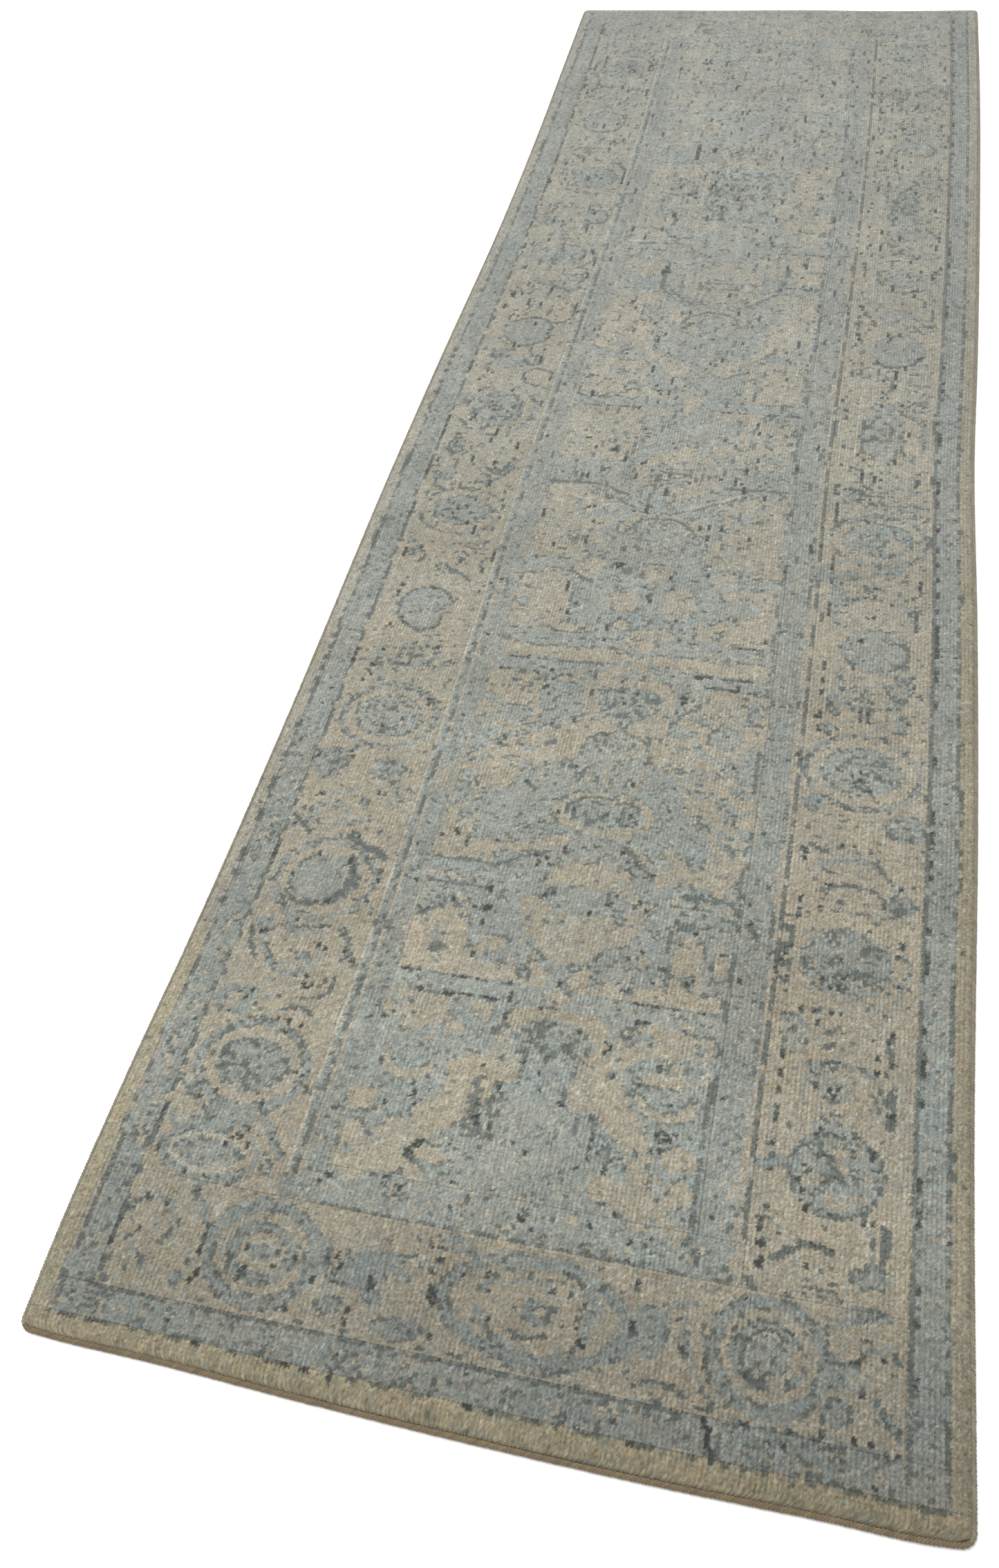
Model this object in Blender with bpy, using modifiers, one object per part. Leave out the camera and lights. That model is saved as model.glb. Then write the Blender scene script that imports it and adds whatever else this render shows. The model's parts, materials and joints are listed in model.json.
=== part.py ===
"""A hand-knotted runner rug, lying flat.

The rug is built in layers. A woven cotton ground carries wool pile, which is grouped here by the bands of the
design: an edge band, an outer guard, a main border, an inner guard and the field. Cotton cords run round the
edge inside an overcast of wool yarn. At both ends the bare end of the weave is folded under and sewn.

Frame: the origin is at the middle of the underside. +X runs across the rug, +Y along it and +Z up through the
pile. The near end is at -Y, the far end at +Y. All sizes are in metres.
"""

import math

import bpy

# Driving dimensions
LENGTH = 2.770
WIDTH = 0.810
CORNER_RADIUS = 0.018  # of the whole rug, seen from above
GAP = 0.0003  # between pieces that touch

GROUND_THICKNESS = 0.0028
PILE_HEIGHT = 0.0064
PILE_EDGE_BEVEL = 0.0008

OVERCAST_RADIUS = 0.0029
OVERCAST_WALL = 0.0009
CORE_RADIUS = 0.0017
CORD_LIFT = 0.00005  # keeps the round cord's lowest line just off the floor

HEM_WIDTH = 0.022
HEM_THICKNESS = 0.0012
THREAD_RADIUS = 0.0004
THREAD_SWAY = 0.0002
THREAD_STITCH = 0.020
THREAD_CHANNEL = 0.0018  # bare strip between the hem and the step in the ground

# How far in from the outline each band of the design ends, at the long sides and at the two ends
BANDS = (
    ("edge_band", 0.021, 0.022),
    ("outer_guard", 0.055, 0.050),
    ("main_border", 0.193, 0.158),
    ("inner_guard", 0.234, 0.195),
)

ARC_STEPS = 8  # straight runs in a quarter turn
CORD_SIDES = 4  # bevel resolution: gives a round section of 12 sides

EDGE_INSET = 2 * OVERCAST_RADIUS + GAP  # of the ground and pile, clear of the overcast
EDGE_RADIUS = CORNER_RADIUS - EDGE_INSET
PILE_BOTTOM = GROUND_THICKNESS + GAP
PILE_TOP = PILE_BOTTOM + PILE_HEIGHT
HEM_STEP_HEIGHT = HEM_THICKNESS + GAP
CORD_HEIGHT = OVERCAST_RADIUS + CORD_LIFT

# Name, colour and roughness of each material
FINISHES = {
    "cotton_ground": ((0.56, 0.53, 0.44), 0.95),
    "cotton_cord": ((0.60, 0.57, 0.48), 0.95),
    "cotton_hem": ((0.55, 0.51, 0.42), 0.95),
    "cotton_thread": ((0.62, 0.58, 0.49), 0.90),
    "wool_overcast": ((0.28, 0.24, 0.17), 0.90),
    "wool_edge_band": ((0.30, 0.27, 0.20), 0.92),
    "wool_outer_guard": ((0.25, 0.27, 0.24), 0.92),
    "wool_main_border": ((0.33, 0.31, 0.25), 0.92),
    "wool_inner_guard": ((0.26, 0.28, 0.25), 0.92),
    "wool_field": ((0.29, 0.30, 0.27), 0.92),
}


def clear_scene():
    """Removes every object that the scene starts with."""
    for obj in list(bpy.data.objects):
        bpy.data.objects.remove(obj, do_unlink=True)


def new_collection(name, hidden=False):
    """Adds a collection to the scene, left out of renders if it only holds helpers."""
    collection = bpy.data.collections.new(name)
    collection.hide_render = hidden
    bpy.context.scene.collection.children.link(collection)
    return collection


def finish(name):
    """Makes the Principled material of this name from its row in FINISHES."""
    colour, roughness = FINISHES[name]
    material = bpy.data.materials.new(name)
    material.use_nodes = True
    shader = material.node_tree.nodes["Principled BSDF"]
    shader.inputs["Base Color"].default_value = (*colour, 1.0)
    shader.inputs["Roughness"].default_value = roughness
    shader.inputs["Metallic"].default_value = 0.0
    return material


def arc(centre, radius, start, end):
    """Points of an arc between two angles in degrees, both ends included."""
    steps = max(1, round(ARC_STEPS * abs(end - start) / 90))
    angles = [math.radians(start + (end - start) * i / steps) for i in range(steps + 1)]
    return [(centre[0] + radius * math.cos(a), centre[1] + radius * math.sin(a)) for a in angles]


def poly_spline(curve, points, closed):
    """Adds straight runs through 2D or 3D points."""
    spline = curve.splines.new("POLY")
    spline.points.add(len(points) - 1)
    for target, point in zip(spline.points, points):
        target.co = (point[0], point[1], point[2] if len(point) > 2 else 0.0, 1.0)
    spline.use_cyclic_u = closed


def slab(name, outline, bottom, top, material, collection, bevel=0.0):
    """A flat piece: a closed outline raised from bottom to top, its edges bevelled if asked."""
    curve = bpy.data.curves.new(name, "CURVE")
    curve.dimensions = "2D"
    curve.fill_mode = "BOTH"
    curve.extrude = (top - bottom) / 2
    poly_spline(curve, outline, closed=True)
    curve.materials.append(material)
    obj = bpy.data.objects.new(name, curve)
    obj.location.z = (top + bottom) / 2
    collection.objects.link(obj)
    if bevel:
        weld = obj.modifiers.new("weld caps", "WELD")
        weld.merge_threshold = 0.0001
        rounding = obj.modifiers.new("soft edges", "BEVEL")
        rounding.width = bevel
        rounding.segments = 2
        rounding.limit_method = "ANGLE"
        rounding.angle_limit = math.radians(40)
    return obj


def box_outline(x_low, x_high, y_low, y_high):
    """A plain rectangle."""
    return [(x_low, y_low), (x_high, y_low), (x_high, y_high), (x_low, y_high)]


def end_outline(end, outer, inner, side, radius):
    """A strip across one end (-1 near, +1 far), whose two outer corners are rounded.

    outer and inner are the insets of its long edges from the end, side is its inset from the long sides.
    """
    x = WIDTH / 2 - side
    y_outer = LENGTH / 2 - outer
    y_inner = LENGTH / 2 - inner
    points = [(x, y_inner)]
    points += arc((x - radius, y_outer - radius), radius, 0, 90)
    points += arc((radius - x, y_outer - radius), radius, 90, 180)
    points += [(-x, y_inner)]
    return [(px * end, py * end) for px, py in points]


def rounded_outline(inset, radius):
    """The whole rug's outline, drawn in by inset."""
    x = WIDTH / 2 - inset - radius
    y = LENGTH / 2 - inset - radius
    corners = ((x, y, 0), (-x, y, 90), (-x, -y, 180), (x, -y, 270))
    return [point for cx, cy, turn in corners for point in arc((cx, cy), radius, turn, turn + 90)]


def to_mesh(obj):
    """Turns a curve object into a mesh object of the same name, with its caps welded on."""
    graph = bpy.context.evaluated_depsgraph_get()
    mesh = bpy.data.meshes.new_from_object(obj.evaluated_get(graph))
    name, matrix, collections = obj.name, obj.matrix_world.copy(), list(obj.users_collection)
    bpy.data.objects.remove(obj, do_unlink=True)
    solid = bpy.data.objects.new(name, mesh)
    solid.matrix_world = matrix
    for collection in collections:
        collection.objects.link(solid)
    weld = solid.modifiers.new("weld caps", "WELD")
    weld.merge_threshold = 0.00001
    return solid


def cut(obj, cutter):
    """Takes the cutter's shape out of the object."""
    boolean = obj.modifiers.new("cut " + cutter.name, "BOOLEAN")
    boolean.operation = "DIFFERENCE"
    boolean.solver = "EXACT"
    boolean.object = cutter


def box_cutter(name, low, high, collection):
    """A box between two corners, used only to cut."""
    bpy.ops.mesh.primitive_cube_add(size=1.0)
    obj = bpy.context.active_object
    obj.name = name
    obj.location = [(a + b) / 2 for a, b in zip(low, high)]
    obj.scale = [b - a for a, b in zip(low, high)]
    obj.hide_render = True
    obj.display_type = "WIRE"
    for other in list(obj.users_collection):
        other.objects.unlink(obj)
    collection.objects.link(obj)
    return obj


def cord(name, path, radius, material, collection, wall=0.0):
    """A round cord along a path. With a wall it is a sleeve, open at both ends, and otherwise it is solid."""
    curve = bpy.data.curves.new(name, "CURVE")
    curve.dimensions = "3D"
    curve.bevel_depth = radius
    curve.bevel_resolution = CORD_SIDES
    curve.use_fill_caps = not wall
    poly_spline(curve, path, closed=False)
    curve.splines[0].use_smooth = True
    curve.materials.append(material)
    obj = bpy.data.objects.new(name, curve)
    collection.objects.link(obj)
    if wall:
        sleeve = obj.modifiers.new("sleeve wall", "SOLIDIFY")
        sleeve.thickness = wall
        sleeve.offset = -1.0
    return obj


def side_path(side):
    """Centre line of the edge cord along one long side, from the middle of one corner to the middle of the next."""
    radius = CORNER_RADIUS - OVERCAST_RADIUS
    x = WIDTH / 2 - CORNER_RADIUS
    y = LENGTH / 2 - CORNER_RADIUS
    trim = math.degrees(GAP / radius)
    points = arc((x, -y), radius, -45 + trim, 0) + arc((x, y), radius, 0, 45 - trim)
    return [(px * side, py * side, CORD_HEIGHT) for px, py in points]


def end_path(end):
    """Centre line of the edge cord along one end, between the same corner middles."""
    radius = CORNER_RADIUS - OVERCAST_RADIUS
    x = WIDTH / 2 - CORNER_RADIUS
    y = LENGTH / 2 - CORNER_RADIUS
    trim = math.degrees(GAP / radius)
    points = arc((x, y), radius, 45 + trim, 90) + arc((-x, y), radius, 90, 135 - trim)
    return [(px * end, py * end, CORD_HEIGHT) for px, py in points]


def add_ground(parts, cutters):
    """The woven ground, with a shallow step on its underside at each end where the hem lies."""
    outline = rounded_outline(EDGE_INSET, EDGE_RADIUS)
    material = finish("cotton_ground")
    ground = to_mesh(slab("woven_ground", outline, 0.0, GROUND_THICKNESS, material, parts))
    step_inset = EDGE_INSET + HEM_WIDTH + THREAD_CHANNEL + GAP
    for end, where in ((-1, "near"), (1, "far")):
        y_inner = end * (LENGTH / 2 - step_inset)
        y_outer = end * LENGTH
        low = (-WIDTH, min(y_inner, y_outer), -HEM_STEP_HEIGHT)
        high = (WIDTH, max(y_inner, y_outer), HEM_STEP_HEIGHT)
        cut(ground, box_cutter("hem_step_" + where, low, high, cutters))


def add_hems(parts):
    """The end of the weave folded under at each end, and the thread that sews it down."""
    hem_material = finish("cotton_hem")
    thread_material = finish("cotton_thread")
    inner = EDGE_INSET + HEM_WIDTH
    thread_y = LENGTH / 2 - inner - THREAD_CHANNEL / 2
    reach = WIDTH / 2 - EDGE_INSET - EDGE_RADIUS
    stitches = int(2 * reach / THREAD_STITCH)
    for end, where in ((-1, "near"), (1, "far")):
        outline = end_outline(end, EDGE_INSET, inner, EDGE_INSET, EDGE_RADIUS)
        slab("folded_hem_" + where, outline, 0.0, HEM_THICKNESS, hem_material, parts)
        path = [
            (
                -reach + 2 * reach * i / stitches,
                end * (thread_y + THREAD_SWAY * (-1) ** i),
                HEM_STEP_HEIGHT / 2,
            )
            for i in range(stitches + 1)
        ]
        cord("hem_thread_" + where, path, THREAD_RADIUS, thread_material, parts)


def add_pile(parts):
    """The wool pile of each band, as a strip at each end and one along each side, and the field inside them."""
    side_outer, end_outer = EDGE_INSET, EDGE_INSET
    for band, side_inner, end_inner in BANDS:
        material = finish("wool_" + band)
        y = LENGTH / 2 - end_inner
        x_outer = WIDTH / 2 - side_outer
        x_inner = WIDTH / 2 - side_inner + GAP
        radius = EDGE_RADIUS if band == "edge_band" else 0.0
        for end, where in ((-1, "near"), (1, "far")):
            if radius:
                outline = end_outline(end, end_outer, end_inner - GAP, side_outer, radius)
            else:
                y_low, y_high = sorted((end * (LENGTH / 2 - end_outer), end * (y + GAP)))
                outline = box_outline(-x_outer, x_outer, y_low, y_high)
            name = f"{band}_pile_{where}"
            slab(name, outline, PILE_BOTTOM, PILE_TOP, material, parts, PILE_EDGE_BEVEL)
        for side, where in ((-1, "left"), (1, "right")):
            x_low, x_high = sorted((side * x_outer, side * x_inner))
            outline = box_outline(x_low, x_high, -y, y)
            name = f"{band}_pile_{where}"
            slab(name, outline, PILE_BOTTOM, PILE_TOP, material, parts, PILE_EDGE_BEVEL)
        side_outer, end_outer = side_inner, end_inner
    x = WIDTH / 2 - side_outer
    y = LENGTH / 2 - end_outer
    outline = box_outline(-x, x, -y, y)
    slab("field_pile", outline, PILE_BOTTOM, PILE_TOP, finish("wool_field"), parts, PILE_EDGE_BEVEL)


def add_edge_cords(parts):
    """A cotton core round the edge in four lengths, each inside its own length of wool overcast."""
    core_material = finish("cotton_cord")
    overcast_material = finish("wool_overcast")
    paths = {
        "left": side_path(-1),
        "right": side_path(1),
        "near": end_path(-1),
        "far": end_path(1),
    }
    for where, path in paths.items():
        cord("core_cord_" + where, path, CORE_RADIUS, core_material, parts)
        cord("overcast_" + where, path, OVERCAST_RADIUS, overcast_material, parts, OVERCAST_WALL)


def main():
    clear_scene()
    parts = new_collection("runner_rug")
    cutters = new_collection("cutters", hidden=True)
    add_ground(parts, cutters)
    add_hems(parts)
    add_pile(parts)
    add_edge_cords(parts)


main()
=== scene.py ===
"""The looks of the runner rug: knotted wool pile, woven back, overcast edges and folded hems.

The pattern is drawn as a weaver's chart, one cell for each knot. Places on the chart are in millimetres: across
from the left edge and along from the near end. Everything else is in metres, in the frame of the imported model.
"""

import json
import math

import bpy
import numpy as np
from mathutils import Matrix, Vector

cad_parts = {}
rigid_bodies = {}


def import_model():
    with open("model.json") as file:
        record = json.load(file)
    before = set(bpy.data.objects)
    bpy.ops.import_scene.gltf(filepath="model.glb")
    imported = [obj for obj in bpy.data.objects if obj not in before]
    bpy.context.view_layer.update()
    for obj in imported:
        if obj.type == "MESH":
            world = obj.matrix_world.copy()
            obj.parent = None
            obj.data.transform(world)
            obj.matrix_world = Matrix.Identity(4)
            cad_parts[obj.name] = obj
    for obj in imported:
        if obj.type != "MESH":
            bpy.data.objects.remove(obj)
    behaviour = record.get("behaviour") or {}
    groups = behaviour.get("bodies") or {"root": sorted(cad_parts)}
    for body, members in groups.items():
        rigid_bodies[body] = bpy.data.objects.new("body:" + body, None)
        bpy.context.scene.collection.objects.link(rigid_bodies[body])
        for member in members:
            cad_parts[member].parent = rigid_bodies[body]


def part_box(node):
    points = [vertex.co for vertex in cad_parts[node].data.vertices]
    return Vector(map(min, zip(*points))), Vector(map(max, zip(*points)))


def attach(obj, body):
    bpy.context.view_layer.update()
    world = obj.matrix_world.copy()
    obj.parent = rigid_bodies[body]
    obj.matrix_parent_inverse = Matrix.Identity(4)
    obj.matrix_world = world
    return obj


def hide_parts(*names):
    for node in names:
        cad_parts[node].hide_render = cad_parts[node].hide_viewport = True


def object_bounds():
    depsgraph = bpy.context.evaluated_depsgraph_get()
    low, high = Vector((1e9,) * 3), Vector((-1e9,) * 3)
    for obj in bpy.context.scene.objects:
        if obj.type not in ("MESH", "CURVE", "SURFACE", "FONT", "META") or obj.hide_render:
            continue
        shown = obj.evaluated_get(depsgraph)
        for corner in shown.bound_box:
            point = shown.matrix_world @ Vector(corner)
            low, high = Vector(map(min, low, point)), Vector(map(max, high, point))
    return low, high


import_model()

CAD_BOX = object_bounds()
LOW, HIGH = (np.array(corner, float) for corner in CAD_BOX)
MM = 0.001
WIDE, LONG = (HIGH[:2] - LOW[:2]) / MM  # the rug's size in millimetres, as the chart has it

FIELD_LOW, FIELD_HIGH = (np.array(corner, float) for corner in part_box("field_pile"))
PILE_BOTTOM, PILE_TOP = FIELD_LOW[2], FIELD_HIGH[2]
GROUND_LOW, GROUND_HIGH = (np.array(corner, float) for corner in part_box("woven_ground"))
HEM_LOW, HEM_HIGH = (np.array(corner, float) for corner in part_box("folded_hem_near"))
OVERCAST_LOW, OVERCAST_HIGH = (np.array(corner, float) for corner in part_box("overcast_near"))

CORD_RADIUS = (OVERCAST_HIGH[2] - OVERCAST_LOW[2]) / 2
CORD_HEIGHT = (OVERCAST_HIGH[2] + OVERCAST_LOW[2]) / 2
CORNER = 12.0  # millimetres, radius of the outline's corners, a little sharper than the CAD's
INSET = (GROUND_LOW[0] - LOW[0]) / MM  # how far the ground and the pile stay inside the outline

KNOT_ACROSS, KNOT_ALONG = 4.2, 3.15  # millimetres from one knot to the next
COLUMNS, ROWS = round(WIDE / KNOT_ACROSS), round(LONG / KNOT_ALONG)
STEPS_ACROSS, STEPS_ALONG = 3, 2  # mesh steps in one knot

dice = np.random.default_rng(2024)


# ---------------------------------------------------------------------------------------------- smooth noise
def smooth_noise(across, along, cell_across, cell_along, seed):
    """Noise between -1 and 1 that changes smoothly over cells of this size, in the same units as the places."""
    table = np.random.default_rng(seed).uniform(-1, 1, (64, 512))
    u, v = np.asarray(across) / cell_across + 7.3, np.asarray(along) / cell_along + 3.1
    iu, iv = np.floor(u).astype(int), np.floor(v).astype(int)
    fu, fv = u - iu, v - iv
    fu, fv = fu * fu * (3 - 2 * fu), fv * fv * (3 - 2 * fv)
    a, b = table[iu % 64, iv % 512], table[(iu + 1) % 64, iv % 512]
    c, d = table[iu % 64, (iv + 1) % 512], table[(iu + 1) % 64, (iv + 1) % 512]
    return (a * (1 - fu) + b * fu) * (1 - fv) + (c * (1 - fu) + d * fu) * fv


def smooth_curve(points, at):
    """A smooth curve through (place, value) points, read at these places."""
    places, values = np.array(points, float).T
    slopes = np.gradient(values, places)
    at = np.clip(at, places[0], places[-1])
    i = np.clip(np.searchsorted(places, at) - 1, 0, len(places) - 2)
    step = places[i + 1] - places[i]
    t = (at - places[i]) / step
    rise = 3 * t**2 - 2 * t**3
    return (
        values[i] * (1 - rise)
        + values[i + 1] * rise
        + step * slopes[i] * (t**3 - 2 * t**2 + t)
        + step * slopes[i + 1] * (t**3 - t**2)
    )


# ------------------------------------------------------------------------------------------ the rug's outline
# How far each edge of the handmade rug strays from a straight line, as (place along the edge, millimetres)
LEFT_STRAYS = ((0, -2), (90, -4.5), (250, -3), (420, 2), (700, 5), (1200, 3), (1450, 5), (1900, 11.5), (2250, 8),
               (2500, 2), (2770, -4))
RIGHT_STRAYS = ((0, 1), (300, -2), (700, 1), (1000, 0), (1300, -4), (1550, 0), (1900, 3), (2400, 3.5), (2770, -1))
NEAR_STRAYS = ((0, 0), (40, -2), (120, -2.5), (270, -7), (400, -9.3), (560, -9), (690, -5.5), (790, -3), (810, 0))
FAR_STRAYS = ((0, 0), (160, -1), (300, -3), (450, 0), (660, -8), (730, -6), (810, 0))
END_REACH = 14.0  # millimetres over which an end's straying fades into the rug


def on_rug(across, along, corner_inset=None):
    """World x and y of chart places. With corner_inset, rows near the ends are drawn in to round the corners."""
    across, along = np.broadcast_arrays(np.asarray(across, float), np.asarray(along, float))
    if corner_inset is not None:
        radius = CORNER - corner_inset
        from_end = np.minimum(along, LONG - along) - corner_inset
        short = np.clip(radius - from_end, 0, radius)
        lost = radius - np.sqrt(np.maximum(radius**2 - short**2, 0))
        half = WIDE / 2 - corner_inset
        across = WIDE / 2 + (across - WIDE / 2) * (1 - lost / half)
    share = across / WIDE
    x = across + smooth_curve(LEFT_STRAYS, along) * (1 - share) + smooth_curve(RIGHT_STRAYS, along) * share
    y = along + smooth_curve(NEAR_STRAYS, across) * np.exp(-along / END_REACH)
    y = y + smooth_curve(FAR_STRAYS, across) * np.exp(-(LONG - along) / END_REACH)
    return LOW[0] + x * MM, LOW[1] + y * MM


# ------------------------------------------------------------------------------------------- the weaver's chart
SAND, TAN, CREAM, BLUE, MIST, SLATE, COAL = range(7)

knot_across, knot_along = np.meshgrid(
    (np.arange(COLUMNS) + 0.5) * KNOT_ACROSS, (np.arange(ROWS) + 0.5) * KNOT_ALONG, indexing="ij"
)
# Hand knotting never follows a drawing exactly, so every shape is read through a slight wobble.
WOBBLE = 1.6
wobbly_across = knot_across + WOBBLE * smooth_noise(knot_across, knot_along, 11, 9, 1)
wobbly_along = knot_along + WOBBLE * smooth_noise(knot_across, knot_along, 10, 10, 2)
chart = np.full((COLUMNS, ROWS), SAND, np.int8)


def box(x_low, x_high, y_low, y_high, yarn):
    """A rectangle."""
    inside = (wobbly_across > x_low) & (wobbly_across < x_high) & (wobbly_along > y_low) & (wobbly_along < y_high)
    chart[inside] = yarn


def turned(x, y, angle):
    """Places seen from a centre, turned by an angle in degrees."""
    dx, dy = wobbly_across - x, wobbly_along - y
    c, s = math.cos(math.radians(angle)), math.sin(math.radians(angle))
    return dx * c + dy * s, dy * c - dx * s


def disc(x, y, rx, ry, yarn, angle=0):
    """A filled ellipse."""
    u, v = turned(x, y, angle)
    chart[(u / rx) ** 2 + (v / ry) ** 2 < 1] = yarn


def roundel(x, y, rx, ry, *layers):
    """Nested rounds from the outside in: a yarn, the width of its ring in millimetres, the next yarn, and so on."""
    for yarn, width in zip(layers[::2], (*layers[1::2], 0)):
        disc(x, y, max(rx, 2), max(ry, 2), yarn)
        rx, ry = rx - width, ry - width


def arc(x, y, rx, ry, start, end, width, yarn):
    """Part of a ring, between two angles in degrees, anticlockwise from the right."""
    dx, dy = wobbly_across - x, wobbly_along - y
    reach = np.hypot(dx / rx, dy / ry)
    off = np.abs(reach - 1) * (rx + ry) / 2
    heading = (np.degrees(np.arctan2(dy / ry, dx / rx)) - start) % 360
    chart[(off < width / 2) & (heading < end - start)] = yarn


def bent(points, steps=6):
    """A smooth curve through the points."""
    if len(points) < 3:
        return points
    count = np.arange(len(points))
    at = np.linspace(0, len(points) - 1, steps * (len(points) - 1) + 1)
    xs, ys = zip(*points)
    return list(zip(smooth_curve(list(zip(count, xs)), at), smooth_curve(list(zip(count, ys)), at)))


def stroke(points, width, yarn, taper=0.0):
    """A line through the points. taper thins it towards both ends, from 0 for none to 1 for pointed."""
    points = bent(points)
    last = len(points) - 1
    for i, ((ax, ay), (bx, by)) in enumerate(zip(points, points[1:])):
        dx, dy = bx - ax, by - ay
        t = ((wobbly_across - ax) * dx + (wobbly_along - ay) * dy) / max(dx * dx + dy * dy, 1e-9)
        t = np.clip(t, 0, 1)
        off = np.hypot(wobbly_across - ax - t * dx, wobbly_along - ay - t * dy)
        along_it = (i + t) / last
        chart[off < width / 2 * (1 - taper * np.abs(2 * along_it - 1) ** 1.5)] = yarn


def leaf(ax, ay, bx, by, width, yarn, rim=None):
    """A pointed leaf from one tip to the other, with a rim of another yarn if asked."""
    if rim is not None:
        stroke([(ax, ay), ((ax + bx) / 2, (ay + by) / 2), (bx, by)], width + 8, rim, taper=0.85)
    stroke([(ax, ay), ((ax + bx) / 2, (ay + by) / 2), (bx, by)], width, yarn, taper=0.9)


def marks(yarn, *spots, size=(4.4, 5.5)):
    """Small dabs of one or two knots at these places."""
    for x, y in spots:
        chart[(np.abs(knot_across - x) < size[0] / 2) & (np.abs(knot_along - y) < size[1] / 2)] = yarn


def upright(x, y_low, y_high, width, yarn, fill=1.0, seed=0, run=3):
    """A line along the rug, broken into runs of this many knots when fill is under 1."""
    kept = np.random.default_rng(seed).uniform(0, 1, ROWS // run + 1).repeat(run)[:ROWS] < fill
    wander = 1.2 * smooth_noise(0 * knot_along, knot_along, 10, 60, seed + 50)
    inside = (np.abs(knot_across - x - wander) < width / 2) & (knot_along > y_low) & (knot_along < y_high)
    chart[inside & kept[None, :]] = yarn


def level(y, x_low, x_high, width, yarn, fill=1.0, seed=0):
    """A line across the rug, broken into runs of knots when fill is under 1."""
    kept = np.random.default_rng(seed).uniform(0, 1, COLUMNS // 2 + 1).repeat(2)[:COLUMNS] < fill
    wander = 0.8 * smooth_noise(knot_across, 0 * knot_across, 60, 10, seed + 90)
    inside = (np.abs(knot_along - y - wander) < width / 2) & (knot_across > x_low) & (knot_across < x_high)
    chart[inside & kept[:, None]] = yarn


def mottle(x_low, x_high, y_low, y_high, yarn, share, grain=(7, 6), over=None, seed=0):
    """Patches of another yarn over a share of a rectangle, only on knots of the yarn named by over."""
    field = smooth_noise(knot_across, knot_along, *grain, seed + 200)
    inside = (knot_across > x_low) & (knot_across < x_high) & (knot_along > y_low) & (knot_along < y_high)
    if over is not None:
        inside &= chart == over
    if inside.any():
        chart[inside & (field > np.quantile(field[inside], 1 - share))] = yarn


def outline_blues(share, run=9, seed=77):
    """Dark blue knots along broken stretches of the blue shapes' outlines, as the weaver edged them."""
    blue = (chart == BLUE) | (chart == MIST)
    pale = (chart == SAND) | (chart == TAN) | (chart == CREAM)
    beside = np.zeros_like(pale)
    beside[1:] |= pale[:-1]
    beside[:-1] |= pale[1:]
    beside[:, 1:] |= pale[:, :-1]
    beside[:, :-1] |= pale[:, 1:]
    patchy = smooth_noise(knot_across, knot_along, run, run, seed) + np.random.default_rng(seed).normal(0, 0.25, chart.shape)
    chart[blue & beside & (patchy > np.quantile(patchy, 1 - share))] = SLATE


def break_up_shapes():
    """Small patches of the neighbouring yarns inside the larger shapes of the borders and the field."""
    for x_low, x_high in ((64, 190), (238, 570), (638, 750)):
        mottle(x_low, x_high, 320, LONG - 40, MIST, 0.28, (8, 5), BLUE, x_low)
        mottle(x_low, x_high, 320, LONG - 40, SAND, 0.07, (7, 5), BLUE, x_low + 1)
        mottle(x_low, x_high, 320, LONG - 40, BLUE, 0.04, (9, 4), SAND, x_low + 2)
        mottle(x_low, x_high, 320, LONG - 40, MIST, 0.07, (9, 5), SAND, x_low + 3)
        mottle(x_low, x_high, 320, LONG - 40, MIST, 0.07, (9, 5), TAN, x_low + 3)


def soften_coal(share, seed=78):
    """Turn a share of the darkest knots to slate, so that dark marks look broken."""
    chart[(chart == COAL) & (np.random.default_rng(seed).uniform(0, 1, chart.shape) < share)] = SLATE


def sprigs(x_low, x_high, y_low, y_high, count):
    """Small curls, buds and flecks, scattered on the pale ground between the larger flowers."""
    pick = np.random.default_rng(round(x_low + y_low))
    before = chart.copy()
    for _ in range(count):
        x, y = pick.uniform(x_low, x_high), pick.uniform(y_low, y_high)
        start, reach = pick.uniform(0, 360), pick.uniform(7, 15)
        arc(x, y, reach, reach, start, start + pick.uniform(110, 220), 4.4, (BLUE, MIST, SLATE)[pick.integers(3)])
        bud_x, bud_y = x + pick.uniform(-9, 9), y + pick.uniform(-9, 9)
        disc(bud_x, bud_y, pick.uniform(3, 7), pick.uniform(3, 6), (BLUE, MIST)[pick.integers(2)])
        flecks = [(x + pick.uniform(-18, 18), y + pick.uniform(-15, 15)) for _ in range(3)]
        marks(SLATE, *flecks)
    pale = (before == SAND) | (before == TAN)
    chart[~pale] = before[~pale]


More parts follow.
